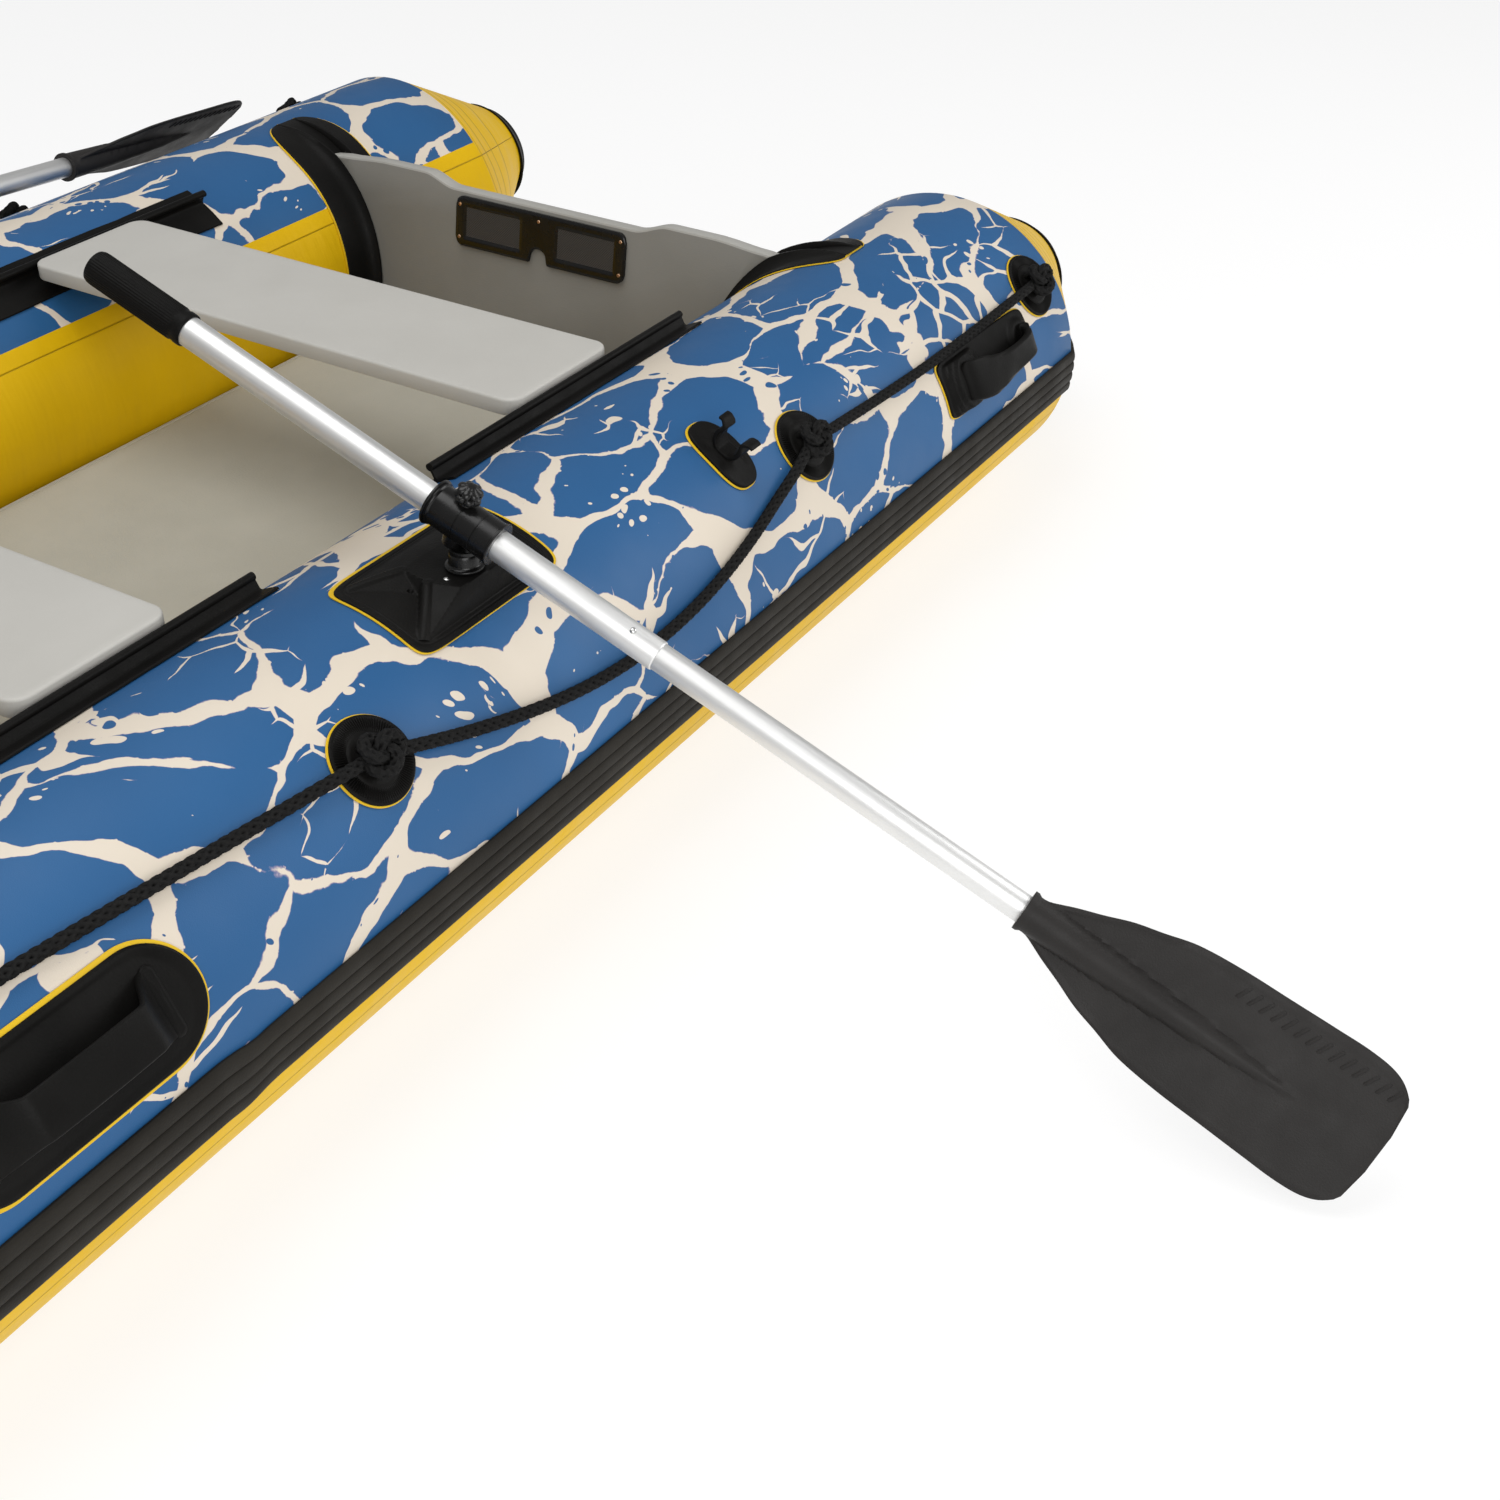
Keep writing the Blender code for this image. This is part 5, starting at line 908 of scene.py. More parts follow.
def board_half():
    """Half of the board's outline, from the middle of its top to the keel."""
    half = []
    for i in range(13):
        x = BOARD_NOTCH_HALF + (BOARD_SHOULDER_HALF - BOARD_NOTCH_HALF) * i / 12
        rise = smooth_step(x, BOARD_NOTCH_HALF, BOARD_SHOULDER_HALF)
        half.append((x, BOARD_NOTCH + (BOARD_SHOULDER - BOARD_NOTCH) * rise))
    for i in range(1, 9):
        x = BOARD_SHOULDER_HALF + (BOARD_TOP_HALF_WIDTH - BOARD_SHOULDER_HALF) * i / 8
        half.append((x, BOARD_SHOULDER - 0.006 * smooth_step(x, 0.3, BOARD_TOP_HALF_WIDTH)))
    radius = RADIUS + 0.0115
    for i in range(25):
        angle = math.radians(122.0 + 100.0 * i / 24)
        half.append((HALF_SPACING + radius * math.cos(angle), radius * math.sin(angle)))
    lean = math.cos(math.radians(BOARD_TILT))
    half += [(p.x, (p.z + 0.006 - RADIUS) / lean) for p in bottom_lines(0.0)[1:]]
    return half


def transom_board():
    """The board with its bevelled edges."""
    half = board_half()
    outline = half + [(-x, y) for x, y in reversed(half[:-1])]
    depth = BOARD_THICKNESS / 2

    def ring(inset, z):
        made = []
        for i, (x, y) in enumerate(outline):
            before, after = outline[i - 1], outline[(i + 1) % len(outline)]
            run, rise = after[0] - before[0], after[1] - before[1]
            length = math.hypot(run, rise)
            made.append(Vector((x + inset * rise / length, y - inset * run / length, z)))
        return made

    levels = [(0.0042, depth), (0.0016, depth - 0.001), (0.0, depth - 0.004)]
    levels += [(inset, -z) for inset, z in reversed(levels)]
    rings = [ring(inset, z) for inset, z in levels]
    shape = Shape()
    shape.grid(rings, lambda r, c: 1 if r < 4 else 0, closed=True)
    place = board_place(depth)
    add("transom_board", shape.caps(rings), [BOARD, BOARD_EDGE], place=place)


def screw(shape, place, radius=0.003, height=0.0012, recess=0.0006):
    """A domed screw head with a sunk middle, in the piece's third material."""
    profile = [
        (0.0, height - recess), (radius * 0.3, height - recess), (radius * 0.34, height),
        (radius * 0.62, height * 0.92), (radius * 0.9, height * 0.55), (radius, 0.0), (radius, -0.0005),
    ]
    shape.turned(profile, 20, 2, Matrix.Translation(place))


def crowded(share, curve):
    """From -1 to 1, a little closer together at both ends."""
    return curve * math.sin(math.pi / 2 * share) + (1.0 - curve) * share


def inner_pad():
    """The clamp pad on the forward face: two sunk mesh panels, a notch and screws."""
    half_w, half_h = INNER_PAD_HALF, (INNER_PAD_TOP - INNER_PAD_BOTTOM) / 2
    half_thick, corner, notch = 0.003, 0.014, 0.016
    columns, rows_count = 96, 34

    def outline_y(x, sign):
        over = max(0.0, abs(x) - (half_w - corner))
        reach = half_h - corner + math.sqrt(max(0.0, corner * corner - over * over))
        if sign < 0 and abs(x) < notch:
            reach -= 0.022 * math.sqrt(max(0.0, 1.0 - (abs(x) / notch) ** 2)) ** 0.6
        return sign * reach

    def height(x, y):
        panel_x = smooth_step(half_w - 0.016 - abs(x), 0.0, 0.004) * smooth_step(abs(x) - 0.032, 0.0, 0.004)
        panel_y = smooth_step(half_h - 0.011 - abs(y), 0.0, 0.004)
        edge = min(half_w - abs(x), outline_y(x, 1) - y, y - outline_y(x, -1))
        round_edge = 0.0015 * (1.0 - smooth_step(edge, 0.0, 0.003))
        return half_thick - 0.002 * panel_x * panel_y - round_edge

    rows = [[] for j in range(rows_count + 1)]
    for i in range(columns + 1):
        x = half_w * crowded(2 * i / columns - 1, 0.15)
        low, high = outline_y(x, -1), outline_y(x, 1)
        for j, row in enumerate(rows):
            y = low + (high - low) * j / rows_count
            row.append(Vector((x, y, height(x, y))))

    def kind(r, c):
        x, y, z = (rows[r][c] + rows[r + 1][c + 1]) / 2
        return 1 if 0.0355 < abs(x) < half_w - 0.0195 and abs(y) < half_h - 0.0145 else 0

    shape = Shape()
    shape.grid(rows, kind)
    edge = rows[0] + [row[-1] for row in rows[1:]] + list(reversed(rows[-1][:-1]))
    edge += [row[0] for row in reversed(rows[1:-1])]
    shape.grid([edge, [Vector((p.x, p.y, -half_thick)) for p in edge]], 0, closed=True)
    z = half_thick - 0.0006
    for x in (-1, 1):
        for y in (-1, 1):
            screw(shape, (x * (half_w - 0.008), y * (half_h - 0.013), z))
    screw(shape, (0.0, half_h - 0.012, z))
    place = board_place(-half_thick - GAP, (INNER_PAD_TOP + INNER_PAD_BOTTOM) / 2)
    add("inner_motor_pad", shape, [PLASTIC, MESH, BRASS], place=place)


def outer_pad():
    """The plain plate on the board's aft face."""
    top, bottom, half_thick = BOARD_NOTCH - 0.004, BOARD_NOTCH - 0.222, 0.002
    half_h, corner = (top - bottom) / 2, 0.014
    levels = ((0.004, -1.0), (0.0012, -1.0), (0.0, 0.0), (0.0, 0.6), (0.0012, 0.92), (0.004, 1.0))
    rings = [rounded_ring(BOARD_NOTCH_HALF, half_h, corner, inset, z * half_thick) for inset, z in levels]
    place = board_place(BOARD_THICKNESS + half_thick + GAP, (top + bottom) / 2)
    add("outer_motor_pad", Shape().loft(rings), [PLASTIC], place=place)


def transom_flange(label, side):
    """A rubber crescent glued to the tube, with two lips that hold the board's edge."""
    lean = math.tan(math.radians(BOARD_TILT))
    board_aft = BOARD_THICKNESS / math.cos(math.radians(BOARD_TILT))
    steps, wall, slot, skin, ripple = 40, 0.005, 3 * GAP, 0.0028, 0.00024
    edge = ((0.0, 0.001), (0.0028, 0.0011), (0.0032, 0.0022), (0.005, skin))
    ends = (0.002, 0.006, 0.012, 0.018, 0.034, 0.044)
    rings = []
    parts = [step / steps for step in range(steps + 1)] + [e for f in ends for e in (f, 1.0 - f)]
    for part in sorted(parts):
        angle = math.radians(FLANGE_START + part * FLANGE_SWEEP)
        lobe = min(1.0, min(part, 1.0 - part) / 0.22)
        bulge = math.sqrt(1.0 - (1.0 - lobe) ** 2)
        fore = -0.012 - 0.05 * bulge
        aft = board_aft + 0.012 + 0.038 * bulge
        tall = min(1.0, 4.0 * part, 4.0 * (1.0 - part)) * 0.0152 + skin
        lip = [
            (wall + tall, skin), (wall + tall * 0.35, skin + tall * 0.2), (wall + tall * 0.06, tall * 0.7),
            (wall * 0.8, tall), (wall * 0.3, tall + GAP), (0.0, tall - 0.0008), (0.0, skin),
        ]
        section = [(fore, 0.0), (aft, 0.0)] + [(aft - run, h) for run, h in edge]
        section += [(board_aft + slot + run, h) for run, h in lip]
        section += [(-slot - run, h) for run, h in reversed(lip[1:])]
        section.append((-slot - wall - tall, skin + ripple * math.sin(9.0 * part * math.pi)))
        section += [(fore + run, h) for run, h in reversed(edge)]
        ring = []
        for run, h in section:
            radius = RADIUS + PATCH_GAP + h
            face_y = BOARD_Y + lean * radius * math.sin(angle)
            ring.append(tube_point(side, at_y(face_y + run), angle, radius))
        rings.append(ring)
    last = len(rings[0]) - 2
    shape = Shape()
    shape.grid(rings, lambda r, c: 1 if c < 3 or c >= last else 0, closed=True)
    shape.fan(rings[0], 1)
    shape.fan(rings[-1], 0)
    add(label + "_transom_flange", shape, [RUBBER, EDGE], smooth=50.0)


def seat(name, fore_y):
    """A bench board with rounded corners and eased edges, and a foot under each end."""
    half_x, half_y, under = SEAT_LENGTH / 2, SEAT_WIDTH / 2, SEAT_TOP - SEAT_THICKNESS
    middle_y = fore_y + half_y
    levels = [(0.01, under), (0.003, under), (0.0009, under + 0.0009), (0.0, under + 0.003)]
    top = ((0.0, 0.0034), (0.0005, 0.0017), (0.0017, 0.0005), (0.0034, 0.0), (0.01, 0.0))
    levels += [(inset, SEAT_TOP - drop) for inset, drop in top]
    rings = [rounded_ring(half_x, half_y, 0.022, inset, z, 10, (0.0, middle_y)) for inset, z in levels]
    shape = Shape()
    shape.grid(rings, closed=True)
    shape.caps(rings)
    foot = ((0.0, 0.001), (0.0, -SEAT_FOOT_HEIGHT + 0.002), (0.002, -SEAT_FOOT_HEIGHT))
    for side in (1, -1):
        middle = (side * (half_x - 0.017), middle_y)
        shape.loft([rounded_ring(0.013, 0.055, 0.005, inset, under + z, 4, middle) for inset, z in foot])
    add(name, shape, [SEAT], body=name, smooth=30.0)


def seat_track(name, side, fore_y, length):
    """A glued band, its edges a little wavy, with an upright fin and its bead."""
    steps = max(8, int(length / 0.02))
    seed = fore_y * 7.0 + side
    bead, top = 0.0048, TRACK_BAND + TRACK_FIN
    fin = ((0.0034, TRACK_BAND), (0.0019, TRACK_BAND + 0.0016), (0.0015, TRACK_BAND + 0.004))
    turns = [math.radians(a) for a in range(-72, 253, 18)]
    rings = []
    for i in range(steps + 1):
        y = fore_y + length * i / steps
        low = max(TRACK_LOW, TRACK_LOW + 0.0008 * math.sin(31.0 * y + seed) + 0.0005 * math.sin(83.0 * y))
        high = TRACK_HIGH - 0.0008 - 0.0008 * math.sin(27.0 * y + 2.0 * seed)
        section = [(low, 0.0), (high, 0.0), (high, 0.0014), (high - 0.0012, TRACK_BAND)]
        section += [(high / 2, TRACK_BAND), *fin]
        section += [(bead * math.cos(turn), top + bead * math.sin(turn)) for turn in turns]
        section += [(-v, h) for v, h in reversed(fin)]
        section += [(low / 2, TRACK_BAND), (low + 0.0012, TRACK_BAND), (low, 0.0014)]
        rings.append([
            tube_point(side, at_y(y), TRACK_TURN + v / RADIUS, RADIUS + PATCH_GAP + h) for v, h in section
        ])
    shape = Shape()
    shape.grid(rings, closed=True)
    add(name, shape.caps(rings), [RUBBER], smooth=45.0)


# Fittings on the tubes
BASE_CORNERS = {
    "R1": (-0.102, 0.053), "R2": (-0.102, -0.053), "R3": (0.102, -0.053), "R4": (0.102, 0.053),
    "P1": (-0.04, 0.027), "P2": (-0.046, -0.009), "P3": (-0.035, -0.037), "P4": (0.031, -0.04),
    "P5": (0.036, 0.027), "W1": (-0.0995, 0.0455), "W2": (-0.0995, -0.0405), "W3": (-0.055, -0.007),
    "W4": (-0.063, 0.007),
}
BASE_FACES = (
    "R1 W1 W2", "R1 W2 R2", "W1 W2 W3", "W1 W3 W4", "R1 W1 W4", "R1 W4 P1", "P1 W4 W3", "P1 W3 P2",
    "P2 W3 W2", "P2 W2 R2", "R2 P2 P3", "R2 P3 P4", "R2 P4 R3", "R3 P4 P5", "R3 P5 R4", "R4 P5 P1",
    "R4 P1 R1",
)


def rowlock_base(label, side):
    """A moulded pad that rises to a level seat: two ridges forward with a deep well between them."""
    half_u, half_v, segments, rim, ridge = 0.1165, 0.069, 216, 0.003, 0.0068
    top = FOOT_Z - GAP

    def level(v):
        return (top - RADIUS) / math.sin(math.radians(BASE_ANGLE) + v / RADIUS) - RADIUS - PATCH_GAP

    heights = {name: level(v) if name[0] == "P" else rim for name, (u, v) in BASE_CORNERS.items()}
    faces = [[(*BASE_CORNERS[name], heights[name]) for name in line.split()] for line in BASE_FACES]

    def facet_height(u, v):
        for (u0, v0, h0), (u1, v1, h1), (u2, v2, h2) in faces:
            area = (u1 - u0) * (v2 - v0) - (u2 - u0) * (v1 - v0)
            b = ((u - u0) * (v2 - v0) - (u2 - u0) * (v - v0)) / area
            c = ((u1 - u0) * (v - v0) - (u - u0) * (v1 - v0)) / area
            if b > -1e-6 and c > -1e-6 and b + c < 1 + 1e-6:
                return h0 + b * (h1 - h0) + c * (h2 - h0)
        return level(v) if abs(u) < 0.06 and abs(v) < 0.045 else rim

    def ridge_height(u, v, high, low):
        (u0, v0), (u1, v1) = BASE_CORNERS[high], BASE_CORNERS[low]
        run, rise = u1 - u0, v1 - v0
        share = ((u - u0) * run + (v - v0) * rise) / (run ** 2 + rise ** 2)
        share = min(1.0, max(0.0, share))
        away = math.hypot(u - u0 - share * run, v - v0 - share * rise) / ridge
        if away >= 1.0:
            return 0.0
        crest = heights[high] + (rim - heights[high]) * share + 0.0026
        return crest - ridge * (1.0 - math.sqrt(1.0 - away * away))

    def surface(u, v):
        height = max(facet_height(u, v), ridge_height(u, v, "P1", "R1"), ridge_height(u, v, "P2", "R2"))
        hole = math.hypot(u + 0.056, (v - 0.003) * 1.2)
        return height - 0.004 * (1.0 - smooth_step(hole, 0.002, 0.0034))

    def edge_ring(inset, z, shift=(0.0, 0.0, 0.0)):
        return [p + Vector(shift) for p in pad_ring(half_u - inset, half_v - inset, 9.0, segments, z)]

    shape = Shape()
    low = ((0.0, 0.0), (0.0, 0.0009), (0.0003, 0.0012), (0.0046, 0.0012))
    shape.grid([edge_ring(inset, z) for inset, z in low], 1, closed=True)
    rest = (-0.001, -0.0024, 0.0)
    band = (
        (0.0033, 0.0008), (0.0033, 0.002), (0.004, rim), (0.0088, rim), (0.0098, rim - 0.0007),
        (0.0108, rim - 0.0007), (0.0118, rim), (0.015, rim),
    )
    shape.grid([edge_ring(inset, z, rest) for inset, z in band], 0, closed=True)
    rows = []
    reach_u, reach_v = half_u - 0.0125, half_v - 0.0125
    for j in range(81):
        v = reach_v * crowded(j / 40 - 1.0, 0.12)
        wide = reach_u * max(0.02, 1.0 - min(1.0, abs(v) / reach_v) ** 9.0) ** (1 / 9.0)
        row = []
        for i in range(141):
            u = wide * (i / 70 - 1.0)
            tucked = 0.0003 if min(wide - abs(u), reach_v - abs(v)) < 0.0015 else 0.0
            row.append(Vector((u + rest[0], v + rest[1], surface(u, v) - tucked)))
        rows.append(row)
    shape.grid(rows)
    wrapped(shape, side, at_y(BASE_Y), BASE_ANGLE)
    shape.moved(lambda p: Vector((p.x, p.y, min(p.z, top))))
    for along in (-0.03, 0.0265):
        screw(shape, (side * PIVOT_X, PIVOT_Y + along, top - 0.0014), 0.0034, 0.002, 0.0008)
    add(label + "_rowlock_base", shape, [RUBBER, EDGE, STEEL], smooth=32.0)


def swivel(label, side):
    """The turning post: a collared foot, a waisted neck and a hollow top."""
    height = PIVOT_Z - FOOT_Z
    widest = math.asin(0.014 / BALL_RADIUS)
    turns = [widest * i / 6 for i in range(7)]
    profile = [(BALL_RADIUS * math.sin(turn), height - BALL_RADIUS * math.cos(turn)) for turn in turns]
    brim = profile[-1][1]
    profile += [
        (0.0152, brim - 0.0006), (0.0156, brim - 0.003), (0.015, brim - 0.0052), (0.0165, brim - 0.008),
        (0.0165, 0.006), (0.017, 0.0044), (0.018, 0.0034), (0.0196, 0.0028), (0.0206, 0.0024),
        (0.021, 0.0016), (0.021, 0.0006), (0.0206, 0.0), (0.008, 0.0), (0.008, -0.0095),
        (0.0075, -0.01), (0.0, -0.01),
    ]
    place = Matrix.Translation((side * PIVOT_X, PIVOT_Y, FOOT_Z))
    shape = Shape().turned(profile, 64)
    add(label + "_rowlock_swivel", shape, [PLASTIC], label + "_swivel", place)


def oar_places(side):
    """An oar's axes at its pivot, and the upright ones that the knob and boss follow."""
    dip, yaw, roll = (math.radians(t[side]) for t in (OAR_DIP, OAR_YAW, OAR_ROLL))
    along = Vector((side * math.cos(dip) * math.cos(yaw), math.cos(dip) * math.sin(yaw), -math.sin(dip)))
    level = Vector((-side * math.sin(yaw), math.cos(yaw), 0.0))
    above = side * along.cross(level)
    across = math.cos(roll) * level + math.sin(roll) * above
    place = Matrix((along, across, along.cross(across))).transposed().to_4x4()
    place.translation = Vector((side * PIVOT_X, PIVOT_Y, PIVOT_Z))
    upright = Matrix((along, above.cross(along), above)).transposed().to_4x4()
    upright.translation = place.translation
    return place, upright


ALONG = Matrix.Rotation(math.pi / 2, 4, "Y")


def oar_grip(label, body, shaft):
    """A ridged rubber tube with a waist near its inner end and a rounded outer end."""
    low, high = -0.47, -0.3675
    profile = [
        (UPPER_RADIUS + GAP, -0.352), (0.0176, -0.352), (0.0184, -0.3528), (0.0187, -0.3545),
        (0.0187, -0.36), (0.018, -0.3615), (0.018, -0.366), (0.019, high), (0.019, low),
        (0.0186, -0.4745), (0.0176, -0.4772), (0.016, -0.478), (0.012, -0.478), (0.0112, -0.4772),
        (0.0, -0.4772),
    ]

    def ridges(angle, z):
        return 1.0 - (0.035 * (0.5 + 0.5 * math.cos(40 * angle)) if low <= z <= high else 0.0)

    shape = Shape().turned(profile, 240, flutes=ridges)
    add(label + "_oar_grip", shape, [RUBBER], body, shaft)


def oar_shaft(name, body, shaft, radius, start, end):
    """One half of the tubular shaft, its blade end eased."""
    bore = radius - TUBE_WALL
    profile = [
        (bore, start), (radius, start), (radius, (start + end) / 2), (radius, end - 0.0016),
        (radius - 0.0004, end - 0.0004), (radius - 0.0008, end), (bore, end), (bore, start),
    ]
    shape = Shape().turned(profile, 72)
    add(name, shape, [ALUMINIUM], body, shaft, tubular=True)


def oar_sleeve(label, body, place, upright):
    """The sleeve in the rowlock: a collar at each end, two grooves and the boss under it."""
    bore, outer, inner = UPPER_RADIUS + GAP, 0.0475, -0.034
    profile = [
        (bore, outer), (0.0232, outer), (0.024, outer - 0.0008), (0.024, outer - 0.0022),
        (0.0226, outer - 0.003), (0.0225, 0.0262), (0.0218, 0.0258), (0.0218, 0.0248), (0.0225, 0.0244),
        (0.0225, 0.0042), (0.0218, 0.0038), (0.0218, 0.0028), (0.0225, 0.0024), (0.0225, inner + 0.0078),
        (0.0236, inner + 0.007), (0.0242, inner + 0.0056), (0.0232, inner + 0.0046),
        (0.0232, inner + 0.0036), (0.0252, inner + 0.003), (0.0255, inner + 0.0018),
        (0.025, inner + 0.0004), (0.0242, inner), (bore, inner),
    ]
    shape = Shape().turned(profile, 72, place=ALONG)
    start = (bore + SLEEVE_RADIUS) / 2
    reach = BALL_RADIUS - 0.0005
    widest = math.asin(0.012 / reach)
    boss = [(0.012, -start), (0.0124, -start - 0.004)]
    for i in range(6, -1, -1):
        boss.append((reach * math.sin(widest * i / 6), -reach * math.cos(widest * i / 6)))
    shape.turned(boss, 48, 0, place.inverted() @ upright)
    add(label + "_oar_sleeve", shape, [PLASTIC], body, place)


def oar_knob(label, upright):
    """The clamping knob, its two tiers of seven lobes set half a lobe apart."""
    def lobes(angle, z):
        if z < 0.0052:
            return 1.0
        shifted = angle + (math.pi / 7 if z > 0.0128 else 0.0)
        return 0.8 + 0.2 * abs(math.cos(3.5 * shifted)) ** 0.8

    rows = (
        (0.0, 0.0), (0.5, 0.0), (0.56, 0.02), (0.54, 0.1), (0.6, 0.17), (0.78, 0.21), (0.92, 0.28),
        (0.98, 0.38), (0.94, 0.48), (0.84, 0.55), (0.8, 0.575), (0.86, 0.61), (0.93, 0.69), (0.88, 0.79),
        (0.72, 0.87), (0.56, 0.9), (0.5, 0.93), (0.4, 0.975), (0.2, 0.995), (0.0, 1.0),
    )
    shape = Shape().turned([(0.0152 * r, 0.0225 * z) for r, z in rows], 112, flutes=lobes)
    place = upright @ Matrix.Translation((0.0, 0.0, SLEEVE_RADIUS + GAP))
    add(label + "_oar_knob", shape, [PLASTIC], label + "_knob", place)


def snap_button(label, side, place):
    """The spring button that locks the two halves of the shaft."""
    turn = -side * math.radians(SNAP_TURN)
    hole = place @ Matrix.Rotation(turn, 4, "X") @ Matrix.Translation((SNAP_REACH, 0.0, 0.0))
    if side < 0:
        hole = hole @ Matrix.Rotation(math.pi, 4, "X")
    proud = UPPER_RADIUS + 0.0026
    inside = LOWER_RADIUS - TUBE_WALL - 2 * GAP - 0.0008
    profile = [
        (0.0, proud), (0.0012, proud), (0.0024, proud - 0.0005), (0.0033, proud - 0.0014),
        (0.0036, proud - 0.0026), (0.0036, inside), (0.0052, inside), (0.0052, inside - 0.0016),
        (0.0, inside - 0.0016),
    ]
    shape = Shape().turned(profile, 32)
    add(label + "_oar_snap_button", shape, [STEEL], label + "_button", hole, tubular=True)


def oar(label, side):
    """Grip, shaft halves, sleeve, knob, button and blade."""
    place, upright = oar_places(side)
    body = label + "_oar"
    shaft = place @ ALONG
    oar_grip(label, body, shaft)
    oar_shaft(label + "_oar_upper_shaft", body, shaft, UPPER_RADIUS, *UPPER_ENDS)
    oar_shaft(label + "_oar_lower_shaft", body, shaft, LOWER_RADIUS, *LOWER_ENDS)
    oar_sleeve(label, body, place, upright)
    oar_knob(label, upright)
    snap_button(label, side, place)
    blade(label, body, place)


def blade(label, body, place):
    """A flat blade with a raised rim, a half-round spine on both faces and a row of grip ribs."""
    rows_count, columns, rib_start, rib_end = 96, 40, 0.212, 0.379
    spine_line = (
        (-0.01, 0.0215), (0.005, 0.0215), (0.0052, 0.0195), (0.102, 0.0176), (0.106, 0.0172),
        (0.2288, 0.0107), (0.305, 0.003), (0.312, 0.0), (1.0, 0.0),
    )

    def height(radius, y, half):
        edge = half - abs(y)
        rim = 0.0006 * (1.0 - smooth_step(edge, 0.004, 0.007))
        rim -= 0.0015 * (1.0 - smooth_step(edge, 0.0, 0.0025))
        return max(0.0019 + rim, math.sqrt(max(0.0, radius * radius - y * y)))

    rings = []
    for r in range(rows_count + 1):
        share = r / rows_count
        share = share - 0.1 * math.sin(2 * math.pi * share) / (2 * math.pi)
        x = BLADE_LENGTH * share
        radius = table_value(spine_line, x)
        half = max(BLADE_HALF_WIDTH * smooth_value(BLADE_OUTLINE, share), radius)
        top = []
        for c in range(columns + 1):
            part = 2 * c / columns - 1
            y = half * math.copysign(abs(part) ** 1.15, part)
            top.append(Vector((BLADE_START + x, y, height(radius, y, half))))
        rings.append(top + [Vector((p.x, p.y, -p.z)) for p in reversed(top)])
    shape = Shape()
    shape.grid(rings, closed=True)
    shape.fan(rings[-1])
    shape.fan(rings[0])
    across = ((-0.0026, 0.0014), (-0.0015, 0.0028), (0.0, 0.0033), (0.0015, 0.0028), (0.0026, 0.0014))
    lengthwise = (
        (-0.003, 0.047, 0.0006), (-0.0025, 0.049, 0.0), (0.0025, 0.06, 0.0), (0.003, 0.062, 0.0006),
    )
    for k in range(14):
        x = BLADE_START + rib_start + (rib_end - rib_start) * k / 13
        for sign in (1, -1):
            shape.grid([
                [Vector((x + dx + lean, y, sign * (dz - drop))) for lean, y, drop in lengthwise]
                for dx, dz in across
            ])
    add(label + "_oar_blade", shape, [BLADE_PLASTIC], body, place, smooth=32.0)


def oar_clip(label, side):
    """A saddle clip on an oval pad, its thick ears turned out at the mouth."""
    ring, middle = 0.0208, 0.025

    def saddle(u, v):
        along = 1.0 - smooth_step(abs(u), 0.006, 0.02)
        return 0.005 * along * (1.0 - smooth_step(abs(v), 0.01, 0.036))

    def section(part):
        ear = 1.0 - smooth_step(min(part, 1.0 - part), 0.0, 0.16)
        return rounded_section(0.013 - 0.003 * ear, 0.0058 - 0.0016 * ear, 0.002)

    shape = edged_pad(oval(0.031, 0.051, 2.6, 72), 0.005, 0.002, (0.0008, -0.0006), 10, saddle)
    wrapped(shape, side, at_y(CLIP_Y), CLIP_ANGLE)
    place = on_tube(side, at_y(CLIP_Y), CLIP_ANGLE)
    half = [(0.0262, 0.04), (0.0232, 0.0412), (0.02, 0.0392)]
    for degrees in range(34, -91, -14):
        angle = math.radians(degrees)
        half.append((ring * math.cos(angle), middle + ring * math.sin(angle)))
    curl = [Vector((x, y, 0.0)) for x, y in half + [(-x, y) for x, y in reversed(half[:-1])]]
    jaws = Shape()
    strap(jaws, [(p.x, p.y) for p in smooth_path(curl, 0.0018)], section, across=True)
    shape.take(jaws.moved(lambda p: place @ p))
    add(label + "_oar_clip", shape, [RUBBER, EDGE], smooth=45.0)


def eye_places():
    """Distance and angle of each rope eye along one side."""
    reaches = [at_y(y) for y in EYE_YS]
    step = math.asin((BOW_START_Y - EYE_4_Y) / BOW_LENGTH) / (math.pi / 2) * ARC_STEPS
    first = int(step)
    reaches.append(BOW_LENGTHS[first] + (step - first) * (BOW_LENGTHS[first + 1] - BOW_LENGTHS[first]))
    return list(zip(reaches, EYE_ANGLES))


